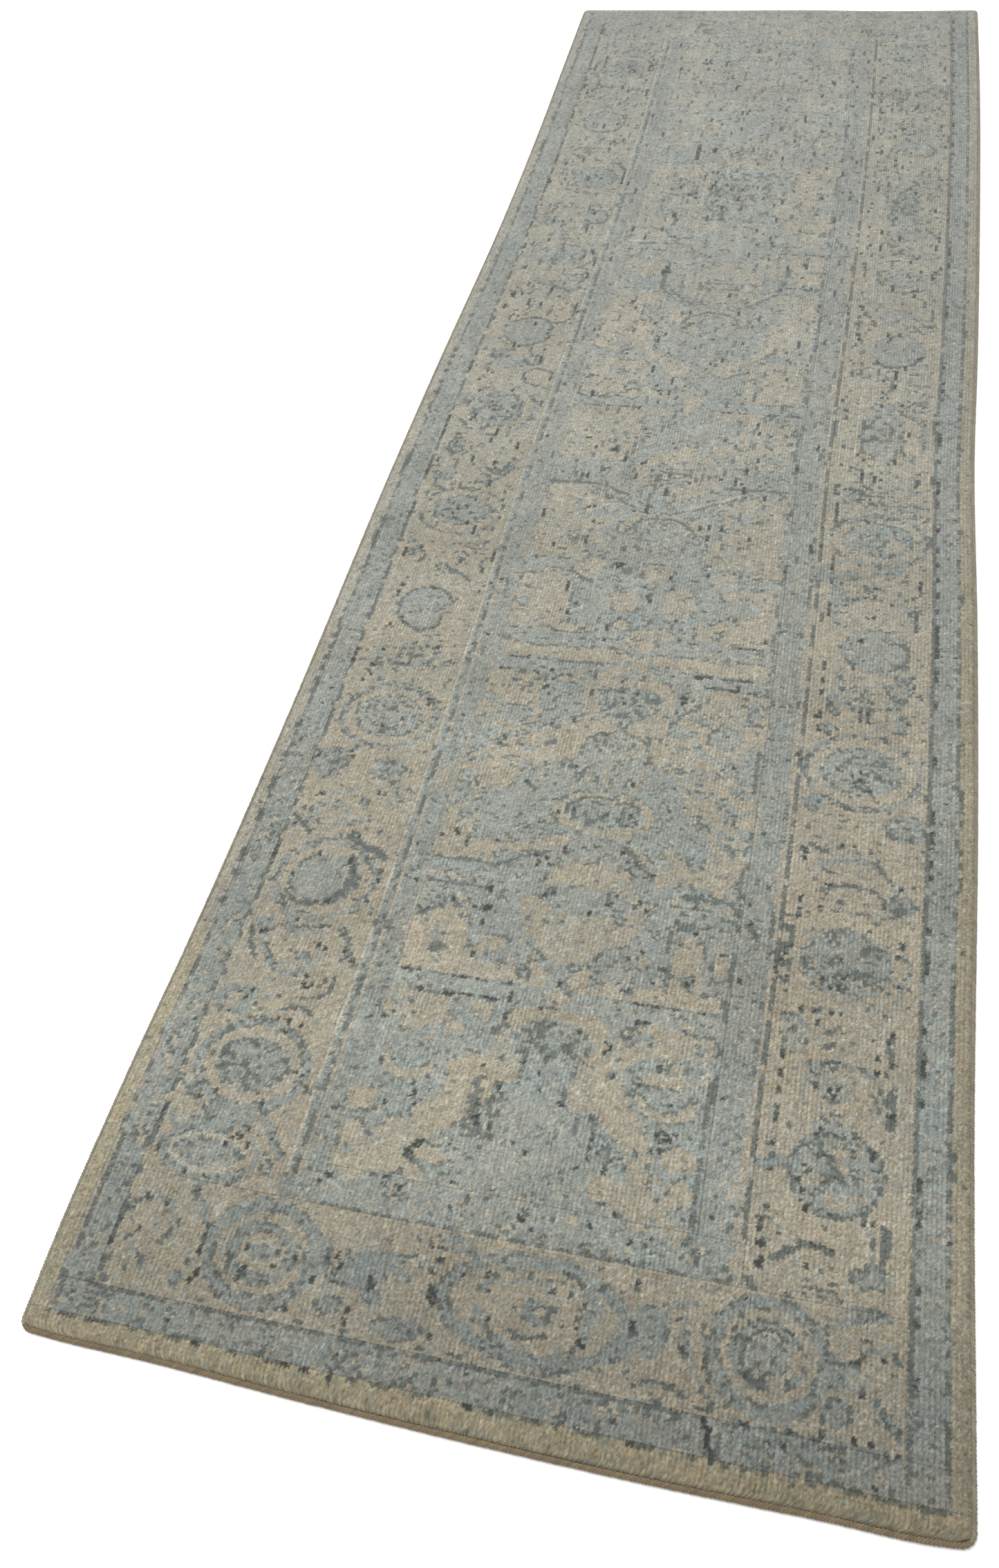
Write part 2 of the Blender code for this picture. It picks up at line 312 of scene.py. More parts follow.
# ------------------------------------------------------------------------------------------------- the pattern
def draw_bands():
    """The plain bands, their guard lines and the blue ground of the middle."""
    box(20, 790, 21, LONG - 20, BLUE)
    box(55, 756, 52, LONG - 50, TAN)
    box(193, 607, 158, LONG - 158, BLUE)
    far = LONG - 22
    upright(21, 24, far, 5, SLATE, 0.35, 1)
    upright(28, 24, far, 7, MIST, 0.85, 2)
    upright(56, 60, far - 30, 4.2, SLATE, 0.6, 3)
    upright(56, 60, far - 30, 4.2, COAL, 0.24, 4, run=9)
    upright(232, 196, LONG - 196, 4.4, MIST, 0.7, 7)
    upright(571, 190, LONG - 190, 4.4, SLATE, 0.5, 8)
    upright(604, 160, LONG - 160, 7, BLUE, 1.0, 9)
    upright(615, 190, LONG - 60, 5, SLATE, 0.75, 11)
    upright(632, 160, LONG - 60, 4.4, COAL, 0.22, 12)
    upright(757, 36, LONG - 30, 4.4, SLATE, 0.9, 13)
    upright(761, 36, LONG - 30, 4.2, COAL, 0.3, 14)
    upright(789, 30, LONG - 30, 4.4, SLATE, 0.35, 15)
    box(0, 25, 0, 190, SAND)
    box(0, 23, 190, 290, SAND)
    upright(26, 24, 200, 4.4, SLATE, 0.7, 16)
    level(21.5, 20, 790, 3.3, SLATE, 0.45, 1)
    level(21.5, 20, 640, 3.3, COAL, 0.14, 5)
    level(48, 50, 600, 3.3, SLATE, 0.55, 2)
    level(52, 60, 620, 3.3, SAND, 0.8, 3)
    level(47.5, 60, 620, 3.3, SLATE, 0.3, 8)
    level(56, 60, 620, 3.3, SLATE, 0.3, 4)
    level(154, 230, 606, 5, TAN, 1.0, 5)
    level(160, 225, 600, 3.3, SLATE, 0.55, 6)
    mottle(24, 790, 22, 50, MIST, 0.25, seed=1, over=BLUE)
    mottle(24, 780, 22, 48, SAND, 0.17, (7, 5), BLUE, 2)
    mottle(24, 780, 22, 48, MIST, 0.2, (9, 6), BLUE, 6)
    mottle(24, 52, 48, 700, SAND, 0.12, (6, 8), BLUE, 7)
    mottle(205, 600, 160, 192, MIST, 0.5, seed=3, over=BLUE)
    mottle(205, 600, 160, 192, TAN, 0.12, (9, 5), BLUE, 4)


def draw_near_left_corner():
    """Sprigs in the near left corner of the main border."""
    arc(92, 112, 15, 20, -60, 110, 6, BLUE)
    arc(78, 118, 14, 22, -50, 80, 4.4, MIST)
    stroke([(70, 95), (84, 84), (96, 72)], 6, BLUE)
    stroke([(60, 120), (72, 132), (86, 136)], 4.4, MIST)
    leaf(113, 152, 140, 118, 14, BLUE)
    leaf(138, 150, 150, 126, 10, CREAM)
    marks(COAL, (74, 135), (78, 134), (76, 103), (78, 69), (128, 74), (143, 78), (146, 74), (142, 70), (118, 147))
    marks(SLATE, (122, 72), (60, 76), (100, 96), (112, 116), (126, 66), (134, 84), (148, 84))
    disc(128, 70, 7, 5, BLUE)


def draw_near_border():
    """The main border across the near end: three roundels with leaves between them."""
    roundel(197, 105, 56, 50, BLUE, 13, TAN, 9, BLUE, 11, TAN, 6, CREAM, 4, BLUE)
    disc(248, 110, 12, 18, BLUE)
    upright(139.5, 92, 122, 5, COAL)
    stroke([(182, 78), (184, 90)], 4.4, COAL)
    marks(COAL, (184, 107), (213, 96), (230, 106), (232, 64), (248, 92))
    marks(SLATE, (200, 112), (214, 106), (236, 76), (190, 132), (170, 120), (172, 84))
    leaf(244, 146, 282, 122, 24, TAN)
    leaf(252, 84, 282, 100, 16, CREAM)
    leaf(262, 92, 326, 128, 34, BLUE)
    leaf(256, 70, 282, 76, 18, BLUE)
    leaf(296, 90, 318, 84, 14, BLUE)
    marks(COAL, (266, 117), (272, 107), (287, 73), (287, 62), (288, 20), (287, 34), (287, 50))
    marks(MIST, (262, 112), (270, 112), (276, 118), (268, 102))
    roundel(301, 98, 4, 7, COAL)
    leaf(308, 64, 362, 70, 20, BLUE)
    leaf(304, 146, 350, 132, 18, TAN)
    disc(328, 113, 6, 6, BLUE)
    stroke([(318, 122), (332, 128), (350, 120)], 5, MIST)
    leaf(350, 150, 392, 142, 16, BLUE)
    marks(COAL, (356, 118), (357, 128), (357, 140), (332, 108), (362, 66), (346, 142))
    roundel(447, 104, 86, 48, BLUE, 13, TAN)
    arc(450, 105, 52, 37, 100, 170, 6, BLUE)
    arc(450, 105, 54, 36, 190, 330, 5, BLUE)
    arc(450, 105, 52, 38, 20, 70, 5, SLATE)
    stroke([(491, 128), (498, 112), (492, 92)], 9, BLUE)
    disc(487, 108, 6, 8, MIST)
    disc(450, 103, 14, 12, BLUE)
    disc(453, 104, 5, 5, TAN)
    stroke([(420, 118), (436, 126), (458, 128)], 4.4, MIST)
    stroke([(424, 84), (444, 82), (462, 86)], 4.4, SLATE)
    roundel(357, 100, 4, 8, COAL)
    marks(COAL, (360, 90), (490, 116), (491, 84), (458, 122), (404, 112), (410, 88), (484, 96), (402, 126))
    marks(SLATE, (440, 133), (468, 131), (476, 124), (412, 74), (425, 64), (452, 68), (440, 96), (466, 106))
    disc(546, 108, 16, 22, BLUE)
    stroke([(500, 72), (520, 84), (548, 96)], 13, BLUE)
    roundel(532.5, 106, 3, 9, COAL)
    marks(COAL, (530, 144), (532, 138), (545, 66), (552, 70), (574, 97), (578, 95))
    leaf(540, 136, 596, 152, 14, TAN)
    leaf(545, 128, 590, 140, 5, BLUE)
    leaf(524, 72, 586, 62, 14, TAN)
    stroke([(540, 62), (556, 68), (580, 62)], 5, SLATE)
    stroke([(572, 122), (576, 104), (584, 90), (592, 74), (604, 62)], 6, BLUE)
    stroke([(590, 118), (594, 98), (600, 78)], 4.4, SLATE)
    roundel(645, 106, 52, 50, BLUE, 13, TAN, 8, BLUE, 10, CREAM, 3, MIST)
    arc(640, 106, 18, 17, 120, 250, 4.4, SLATE)
    disc(668, 107, 7, 9, TAN)
    disc(640, 84, 9, 6, SLATE)
    disc(652, 84, 6, 5, TAN)
    marks(COAL, (627, 88), (690, 56), (666, 54), (663, 40), (630, 52))
    marks(SLATE, (640, 112), (650, 104), (636, 98), (656, 96), (616, 124), (684, 76), (676, 66))


def draw_near_right_corner():
    """Sprigs in the near right corner of the main border."""
    stroke([(684, 132), (704, 144), (722, 152), (744, 154)], 8, BLUE, 0.5)
    arc(735, 108, 20, 20, 40, 230, 6, BLUE)
    disc(702, 74, 13, 11, MIST)
    stroke([(730, 88), (742, 76), (752, 64)], 7, BLUE)
    disc(702, 106, 9, 16, BLUE)
    marks(COAL, (714, 113), (738, 121), (722, 90), (737, 83), (734, 74), (748, 52), (742, 49), (716, 57), (727, 57))
    marks(SLATE, (696, 78), (706, 68), (712, 80), (690, 66), (684, 84), (722, 122), (746, 112), (726, 134))


def draw_loose_mark():
    """A slip of black wool that strays over the near guard, and a painted shadow of it in slate knots beside it."""
    stroke([(597, 50), (601, 41), (604, 33), (604, 22)], 4.4, COAL)
    # Painted shadow: slate knots just right of the slip.
    upright(609, 22, 40, 4.2, SLATE, 0.8, 31)


def draw_left_border_near():
    """The left border from the corner to the second scroll."""
    stroke([(60, 218), (76, 208), (88, 216)], 6, MIST)
    stroke([(60, 254), (78, 238), (94, 222), (92, 208)], 9, BLUE)
    stroke([(186, 262), (166, 248), (156, 230), (170, 212), (184, 194)], 10, BLUE)
    disc(118, 222, 32, 12, BLUE)
    leaf(64, 236, 96, 218, 16, TAN)
    roundel(115, 185, 50, 29, BLUE, 9, CREAM, 6, MIST)
    stroke([(146, 200), (156, 186), (146, 176)], 7, TAN)
    leaf(128, 214, 156, 196, 12, TAN)
    leaf(160, 200, 184, 170, 12, MIST)
    marks(COAL, (128, 210), (138, 207), (134, 203), (146, 214), (128, 196), (150, 198), (98, 163), (118, 162), (142, 205))
    marks(SLATE, (140, 190), (128, 184), (94, 190), (104, 200), (76, 174), (184, 198), (150, 164), (110, 178))
    roundel(124, 279, 60, 50, BLUE, 10, TAN, 12, BLUE)
    mottle(80, 168, 240, 316, SLATE, 0.22, over=BLUE, seed=11)
    mottle(95, 160, 244, 300, MIST, 0.35, (6, 5), BLUE, 12)
    mottle(124, 156, 244, 272, CREAM, 0.22, (8, 6), MIST, 13)
    marks(COAL, (79, 264), (100, 246), (170, 279), (178, 276), (182, 282), (144, 318), (150, 320), (82, 320), (131, 277))
    marks(COAL, (146, 328), (142, 332), (186, 262), (80, 284))
    arc(80, 345, 17, 13, 0, 360, 12, BLUE)
    marks(COAL, (82, 354), (92, 350), (78, 332), (144, 332), (132, 330), (158, 328), (123, 355), (96, 358))
    stroke([(134, 342), (150, 348), (166, 342)], 4.4, SLATE)
    stroke([(150, 356), (164, 362), (176, 372), (174, 388)], 4.4, SLATE)
    # the long scroll
    stroke([(76, 440), (84, 420), (94, 402), (110, 388), (130, 384), (142, 394), (138, 406), (126, 406)], 8, BLUE)
    stroke([(66, 432), (72, 412), (84, 396)], 5, SLATE)
    stroke([(64, 442), (78, 444), (88, 434)], 6, MIST)
    marks(COAL, (146, 384), (145, 376), (147, 370), (80, 432), (76, 428), (143, 424), (146, 419), (152, 420), (176, 388))
    marks(COAL, (154, 376), (160, 374), (166, 380))
    stroke([(160, 446), (172, 434), (178, 418), (188, 404)], 8, BLUE)
    disc(128, 436, 22, 8, MIST)
    marks(COAL, (176, 430), (176, 420), (186, 408), (106, 436), (107, 430))


def draw_left_border_second():
    """The left border round its second large roundel."""
    stroke([(92, 460), (104, 448), (106, 432)], 8, BLUE)
    roundel(124, 504, 60, 55, BLUE, 9, TAN, 12, BLUE, 4, MIST)
    mottle(84, 164, 466, 540, BLUE, 0.45, over=MIST, seed=15)
    stroke([(146, 536), (152, 520), (154, 504), (148, 490), (136, 476)], 9, SLATE)
    stroke([(88, 480), (104, 470), (118, 468)], 6, SLATE)
    marks(COAL, (146, 536), (146, 530), (150, 522), (154, 518), (138, 476), (132, 474), (86, 504), (88, 490), (108, 536))
    marks(COAL, (98, 534), (182, 522), (178, 486), (147, 446), (142, 444), (112, 448), (184, 510))
    stroke([(134, 562), (152, 554), (170, 548), (182, 540)], 9, SLATE)
    stroke([(60, 582), (76, 572), (86, 562)], 6, SLATE)
    disc(66, 560, 9, 7, TAN)
    marks(COAL, (62, 582), (64, 570), (146, 566), (144, 562), (166, 574), (84, 618), (80, 616), (148, 628), (156, 626))
    # a small curl above it
    stroke([(80, 576), (80, 594), (90, 606), (106, 608)], 7, BLUE)
    stroke([(122, 578), (140, 584), (150, 592)], 7, MIST)
    arc(104, 592, 20, 16, 200, 560, 5, MIST)
    stroke([(90, 620), (110, 622), (126, 632)], 6, MIST)
    stroke([(158, 650), (168, 640), (174, 622)], 9, BLUE)
    disc(136, 612, 8, 8, MIST)


def draw_right_border_near():
    """The right border from the corner to its second round."""
    box(608, 626, 164, 186, TAN)
    stroke([(620, 168), (626, 160)], 8, SLATE)
    roundel(690, 273, 42, 42, BLUE, 9, MIST)
    arc(690, 273, 41, 41, 20, 95, 4.4, SLATE)
    arc(690, 273, 41, 41, 150, 215, 4.4, SLATE)
    arc(690, 273, 41, 41, 260, 330, 4.4, SLATE)
    mottle(656, 724, 240, 306, TAN, 0.4, over=MIST, seed=21)
    mottle(656, 724, 240, 306, BLUE, 0.4, over=MIST, seed=22)
    stroke([(678, 288), (690, 276), (696, 268)], 4.4, SLATE)
    stroke([(676, 258), (690, 270), (700, 262)], 4.4, SLATE)
    marks(COAL, (660, 244), (662, 252), (662, 276), (720, 294), (722, 298), (676, 311), (682, 311), (688, 311), (694, 311))
    marks(COAL, (680, 288), (676, 286), (692, 272), (680, 262), (686, 232), (664, 236), (718, 232), (723, 232), (656, 262))
    marks(COAL, (629, 218), (630, 222), (629, 212), (630, 180), (630, 198), (644, 312), (632, 294), (632, 268))
    stroke([(622, 270), (634, 276), (646, 274)], 9, BLUE)
    stroke([(640, 186), (650, 196), (660, 202)], 8, SLATE, 0.5)
    stroke([(664, 205), (678, 204), (690, 202)], 6, SLATE)
    marks(COAL, (676, 206), (682, 204), (690, 201), (684, 184), (668, 186))
    disc(722, 184, 18, 10, BLUE)
    stroke([(733, 230), (736, 214), (732, 196)], 7, SLATE)
    stroke([(722, 226), (726, 208), (722, 194)], 5, BLUE)
    for y in (162, 168, 174):
        level(y, 668, 700, 3.3, SLATE, 0.5, y)
    stroke([(704, 156), (728, 158), (744, 154)], 7, BLUE, 0.6)
    # arches and dashes
    disc(684, 352, 16, 12, MIST)
    marks(COAL, (679, 352), (683, 346), (686, 356), (680, 342), (666, 356), (660, 374), (658, 378), (662, 370))
    arc(688, 366, 30, 15, 20, 160, 7, BLUE)
    arc(686, 346, 34, 26, 100, 190, 6, MIST)
    stroke([(732, 358), (736, 342), (734, 326)], 8, SLATE)
    marks(COAL, (730, 350), (735, 338), (686, 383), (680, 383), (674, 381), (722, 394), (722, 378))
    stroke([(724, 366), (722, 352), (726, 334)], 4.4, MIST)
    leaf(662, 322, 700, 314, 12, MIST)
    for y in (396, 412):
        marks(COAL, (676, y), (686, y + 2))
        marks(SLATE, (680, y + 4), (672, y))
    stroke([(632, 424), (646, 420), (650, 404), (640, 390)], 9, BLUE)
    disc(636, 404, 7, 8, MIST)
    marks(COAL, (631, 396), (631, 388), (631, 380), (646, 434), (656, 434), (662, 434), (674, 434), (684, 434), (660, 421))
    stroke([(734, 424), (730, 408), (734, 388)], 5, SLATE)
    marks(COAL, (732, 420), (730, 410), (732, 388), (728, 378))
    for x, low, high in ((613, 470, 512), (618, 474, 490), (622, 490, 508), (626, 450, 468), (628, 488, 530), (631, 540, 552)):
        upright(x, low, high, 4.4, COAL, 0.6, low)
    mottle(608, 630, 450, 545, SLATE, 0.25, seed=23)
    disc(684, 492, 45, 40, BLUE)
    mottle(640, 730, 450, 534, SLATE, 0.14, (8, 4), BLUE, 24)
    mottle(640, 730, 450, 534, MIST, 0.3, (7, 6), BLUE, 25)
    mottle(640, 730, 450, 534, SAND, 0.1, (8, 4), BLUE, 27)
    marks(COAL, (674, 498), (680, 496), (676, 474), (684, 476), (688, 480), (670, 464), (680, 464), (660, 470))
    stroke([(740, 512), (744, 496), (742, 478), (736, 470)], 5, MIST)
    marks(COAL, (735, 518), (734, 508), (737, 474), (745, 472), (736, 524))
    level(545, 670, 720, 3.3, SLATE, 0.5, 31)
    level(553, 660, 730, 3.3, SLATE, 0.5, 32)
    marks(COAL, (654, 550), (654, 556), (660, 582), (658, 584), (682, 586), (664, 584), (664, 634), (668, 636), (684, 638))
    disc(732, 568, 20, 13, BLUE)
    mottle(712, 756, 552, 584, SLATE, 0.3, over=BLUE, seed=26)
    arc(684, 560, 38, 26, 30, 150, 5, SLATE)
    arc(682, 596, 34, 24, 20, 170, 8, MIST)
    stroke([(664, 620), (690, 622), (712, 610), (720, 596)], 7, BLUE, 0.4)
    marks(COAL, (633, 614), (630, 628), (634, 622), (733, 590), (700, 634))
    stroke([(636, 634), (652, 626)], 5, SLATE)


def draw_field_first():
    """The field from the near guard to the first blue bar."""
    stroke([(258, 204), (286, 232), (318, 262), (348, 296)], 36, TAN)
    box(232, 256, 254, 276, TAN)
    disc(243, 232, 13, 10, TAN)
    disc(268, 212, 36, 18, TAN)
    disc(240, 202, 10, 10, TAN)
    disc(245, 215, 7, 7, MIST)
    disc(262, 250, 7, 9, MIST)
    disc(290, 257, 5, 5, BLUE)
    disc(266, 229, 8, 4, MIST)
    disc(262, 272, 7, 6, BLUE)
    leaf(300, 206, 322, 200, 12, TAN)
    leaf(302, 224, 344, 222, 16, TAN)
    stroke([(302, 222), (310, 232), (318, 236)], 6, COAL, 0.6)
    stroke([(302, 222), (312, 212), (318, 210)], 5, SLATE, 0.4)
    roundel(303, 222, 5, 7, COAL)
    roundel(276, 316, 30, 24, TAN, 8, BLUE)
    box(246, 306, 316, 342, BLUE)
    disc(348, 300, 9, 9, TAN)
    for x, low, high in ((352, 262, 290), (357, 256, 288), (361, 246, 272), (367, 272, 300), (373, 278, 308), (371, 254, 266)):
        upright(x, low, high, 4.6, SLATE if x in (352, 367) else COAL, 0.85, low)
    mottle(345, 380, 245, 310, SLATE, 0.4, seed=31)
    marks(COAL, (287, 290), (290, 280), (287, 276), (268, 264), (202, 234), (202, 224), (287, 194), (288, 186), (306, 186))
    marks(COAL, (232, 186), (236, 186), (302, 178), (355, 176), (355, 166), (350, 200), (366, 190), (368, 184))
    mottle(380, 470, 200, 330, MIST, 0.35, (8, 12), BLUE, 32)
    # right half, a looser mirror of the left
    stroke([(476, 300), (506, 272), (520, 240), (536, 206)], 30, TAN)
    disc(520, 212, 28, 22, TAN)
    disc(552, 226, 18, 12, TAN)
    disc(550, 258, 18, 12, TAN)
    disc(484, 222, 13, 12, TAN)
    box(520, 566, 188, 200, TAN)
    disc(508, 254, 6, 7, MIST)
    disc(530, 247, 10, 5, MIST)
    disc(536, 228, 9, 6, MIST)
    disc(556, 207, 9, 8, BLUE)
    disc(536, 196, 7, 4, MIST)
    roundel(530, 316, 30, 24, TAN, 8, BLUE)
    box(500, 560, 316, 342, BLUE)
    arc(532, 278, 5, 5, 0, 360, 4.4, COAL)
    marks(COAL, (524, 264), (530, 265), (527, 291), (432, 297), (434, 291), (424, 266), (467, 256), (468, 264), (468, 270))
    marks(COAL, (466, 284), (468, 246), (487, 236), (486, 216), (504, 198), (482, 186), (520, 176), (532, 176), (398, 247))
    marks(COAL, (408, 239), (414, 242), (446, 183), (440, 184), (420, 180), (480, 258), (484, 244), (518, 160), (530, 160))
    upright(484, 240, 266, 5, SLATE, 0.9, 33)
    upright(452, 262, 284, 5, SLATE, 0.7, 34)
    # the first palmette
    box(358, 396, 306, 332, TAN)
    disc(372, 326, 17, 20, TAN)
    disc(452, 312, 18, 24, TAN)
    roundel(412, 352, 60, 47, TAN, 19, BLUE)
    stroke([(362, 344), (352, 326), (330, 312)], 26, TAN)
    stroke([(462, 344), (470, 322), (482, 306)], 26, TAN)
    box(384, 438, 296, 344, BLUE)
    mottle(372, 452, 330, 384, SLATE, 0.24, (6, 5), BLUE, 38)
    mottle(372, 452, 330, 384, MIST, 0.3, (7, 6), BLUE, 39)
    stroke([(392, 352), (404, 344), (416, 338)], 6, SLATE)
    marks(COAL, (410, 338), (404, 372), (408, 374), (392, 390), (398, 392), (468, 358), (465, 352), (466, 364), (408, 332))
    marks(COAL, (352, 358), (350, 320), (356, 362), (360, 372), (360, 378), (478, 330), (406, 322))
    stroke([(350, 340), (352, 356), (362, 366)], 7, SLATE)
    disc(406, 402, 13, 10, TAN)
    # side flowers under the bar
    box(236, 322, 350, 386, TAN)
    disc(260, 366, 28, 22, TAN)
    disc(300, 372, 44, 18, TAN)
    disc(246, 374, 7, 5, MIST)
    disc(262, 378, 6, 5, MIST)
    stroke([(308, 376), (330, 362), (346, 342)], 22, BLUE)
    stroke([(300, 350), (318, 338)], 16, BLUE)
    disc(310, 352, 7, 6, TAN)
    box(330, 346, 368, 388, TAN)
    box(492, 568, 338, 386, TAN)
    disc(520, 358, 46, 32, TAN)
    stroke([(484, 366), (498, 376), (508, 370)], 12, BLUE)
    stroke([(488, 330), (506, 346), (520, 350)], 16, BLUE)
    disc(552, 348, 12, 12, BLUE)
    disc(556, 372, 6, 6, MIST)
    disc(540, 356, 5, 5, MIST)
    marks(COAL, (518, 346), (520, 342), (506, 368), (250, 308), (238, 356), (244, 358), (500, 324))
    disc(248, 348, 12, 10, MIST)


def draw_first_bar():
    """The first blue bar across the field, and the row of small flowers above it."""
    box(236, 568, 391, 411, BLUE)
    mottle(236, 568, 391, 411, MIST, 0.3, over=BLUE, seed=41)
    level(391, 262, 350, 3.3, COAL, 0.75, 41)
    level(391, 444, 560, 3.3, COAL, 0.45, 42)
    level(412, 240, 330, 3.3, COAL, 0.5, 43)
    level(412, 460, 568, 3.3, COAL, 0.5, 44)
    box(236, 392, 413, 432, TAN)
    box(418, 566, 413, 430, TAN)
    disc(406, 402, 13, 10, TAN)
    upright(359, 392, 404, 4.6, COAL)
    stroke([(300, 428), (318, 450), (340, 458), (362, 448), (380, 430)], 12, TAN)
    disc(334, 436, 13, 7, BLUE)
    disc(366, 425, 10, 7, SLATE)
    disc(367, 425, 4, 4, MIST)
    box(236, 296, 430, 478, TAN)
    stroke([(292, 478), (288, 494), (278, 506)], 9, TAN)
    disc(270, 476, 18, 18, TAN)
    stroke([(262, 470), (264, 452), (272, 442)], 7, MIST)
    disc(270, 442, 9, 6, SLATE)
    stroke([(418, 424), (436, 444), (458, 450), (474, 462)], 14, TAN)
    disc(474, 458, 14, 10, TAN)
    disc(440, 426, 9, 7, BLUE)
    stroke([(474, 448), (480, 436), (470, 424)], 9, BLUE)
    marks(COAL, (470, 424), (474, 422), (440, 424), (404, 420), (356, 412), (360, 376))
    disc(526, 466, 16, 34, TAN)
    box(512, 550, 418, 452, TAN)
    disc(532, 443, 9, 7, MIST)
    marks(COAL, (530, 441), (534, 445), (504, 454), (490, 454), (560, 480), (530, 500), (498, 436), (582, 454), (584, 430))
    disc(562, 466, 7, 14, TAN)
    box(546, 554, 424, 500, BLUE)
    upright(506, 430, 500, 4.6, SLATE, 0.7, 45)
    upright(500, 470, 540, 4.6, MIST, 0.6, 46)
    for low, high in ((464, 500), (514, 540), (434, 446)):
        upright(309, low, high, 5, COAL, 0.9, low)
    upright(305, 490, 500, 5, COAL)
    marks(COAL, (304, 520), (310, 528), (314, 498), (238, 484), (244, 484), (262, 500), (272, 502), (208, 516), (224, 520))


def draw_first_cup():
    """The large pale cup in the middle, its blue heart, and the lines beside it."""
    stroke([(232, 484), (250, 484), (264, 498)], 5, SLATE)
    roundel(410, 506, 66, 54, TAN)
    box(340, 392, 440, 470, BLUE)
    box(428, 480, 440, 472, BLUE)
    leaf(372, 478, 404, 446, 26, TAN)
    leaf(440, 478, 404, 446, 26, TAN)
    disc(404, 478, 40, 26, TAN)
    disc(352, 532, 15, 12, BLUE)
    disc(412, 522, 50, 18, BLUE)
    mottle(362, 460, 504, 540, MIST, 0.5, over=BLUE, seed=51)
    disc(372, 530, 7, 6, SLATE)
    mottle(420, 452, 512, 540, SLATE, 0.3, (5, 4), BLUE, 53)
    mottle(372, 440, 452, 506, CREAM, 0.35, over=TAN, seed=52)
    marks(COAL, (370, 532), (376, 526), (366, 522), (364, 520), (434, 524), (438, 522), (444, 532), (470, 530), (416, 506))
    box(384, 436, 548, 572, TAN)
    disc(376, 554, 12, 10, TAN)
    disc(440, 556, 16, 12, TAN)
    disc(408, 580, 24, 12, BLUE)
    stroke([(302, 552), (322, 562), (342, 572), (358, 576)], 4.6, SLATE)
    stroke([(306, 540), (330, 548), (352, 560), (372, 568)], 14, BLUE)
    stroke([(440, 596), (458, 578), (470, 566), (486, 556)], 5, SLATE)
    stroke([(446, 606), (460, 588), (476, 576)], 4.4, SAND)
    marks(COAL, (362, 588), (374, 582), (348, 572), (360, 570), (352, 560), (362, 560), (374, 596), (376, 590), (364, 546))
    marks(COAL, (452, 568), (456, 576), (448, 580), (468, 562), (310, 554), (440, 590))
    # pale lines and long leaves
    box(236, 310, 527, 531, SAND)
    box(236, 300, 520, 524, SLATE)
    box(232, 306, 552, 556, SLATE)
    box(500, 568, 533, 537, SAND)
    box(500, 568, 527, 530, SAND)
    box(506, 566, 540, 546, SLATE)
    stroke([(248, 560), (286, 576), (330, 584), (372, 596)], 16, TAN)
    box(236, 300, 556, 584, TAN)
    disc(252, 604, 18, 26, TAN)
    disc(256, 616, 8, 8, BLUE)
    leaf(240, 634, 268, 640, 12, TAN)
    marks(COAL, (266, 580), (268, 576), (266, 572), (250, 592), (254, 590), (236, 582), (520, 558), (532, 549))
    disc(306, 602, 34, 20, BLUE)
    disc(330, 592, 10, 8, MIST)
    stroke([(490, 560), (516, 572), (548, 560)], 22, TAN)
    disc(550, 592, 20, 30, TAN)
    stroke([(490, 596), (506, 582)], 12, TAN)
    disc(542, 622, 16, 18, TAN)
    disc(510, 612, 20, 20, BLUE)
    disc(552, 616, 10, 10, BLUE)
    marks(COAL, (548, 622), (552, 610), (584, 640), (582, 544), (598, 570), (586, 522), (466, 522), (478, 520))
    mottle(506, 600, 500, 530, SLATE, 0.25, over=BLUE, seed=53)


def rosette(x, y, rx, ry, heart=BLUE, ring=8, gap=11):
    """A border rosette: an outer ring, a pale ring, and a mottled heart with a few dark knots."""
    roundel(x, y, rx, ry, BLUE, ring, TAN, gap, heart)
    ix, iy = rx - ring - gap, ry - ring - gap
    seed = int(x + y)
    mottle(x - ix, x + ix, y - iy, y + iy, MIST if heart == BLUE else BLUE, 0.3, over=heart, seed=seed)
    mottle(x - ix, x + ix, y - iy, y + iy, SLATE, 0.16, (5, 4), heart, seed + 1)
    marks(COAL, (x - 0.3 * ix, y + 0.4 * iy), (x + 0.4 * ix, y - 0.1 * iy), (x - 0.1 * ix, y - 0.5 * iy))


def cup(x, y, rx, ry):
    """The pale heart-shaped medallion in the middle of the field."""
    disc(x, y, rx, ry, TAN)
    leaf(x, y + ry - 16, x, y + ry + 14, 26, TAN)
    leaf(x, y - ry + 16, x, y - ry - 12, 26, TAN)
    disc(x, y, rx - 11, ry - 12, SAND)
    mottle(x - rx, x + rx, y - ry, y + ry, MIST, 0.35, (8, 6), SAND, int(y))
    for dx, low, high in ((-38, -12, 8), (-30, -20, -8), (-26, 2, 14), (24, -16, -2), (32, -10, 6)):
        upright(x + dx, y + low, y + high, 4.4, SLATE, 0.8, int(y + dx))
    for dy in (-14, 2, 12):
        level(y + dy, x - 26, x + 24, 3.3, SLATE, 0.55, int(y + dy))


def arch(x, y, rx, ry, opening=1):
    """A pale double arch over a blue heart. opening is 1 when it opens towards the near end, -1 when away."""
    low, high = (0, 180) if opening == 1 else (180, 360)
    arc(x, y, rx, ry, low, high, 8, TAN)
    arc(x, y, rx - 9, ry - 7, low, high, 4.4, SLATE)
    arc(x, y, rx - 16, ry - 13, low, high, 6, TAN)
    disc(x, y + opening * 6, rx - 22, ry - 20, BLUE)
    marks(SLATE, (x - 18, y + opening * 4), (x + 6, y + opening * 10), (x + 20, y + opening * 5))


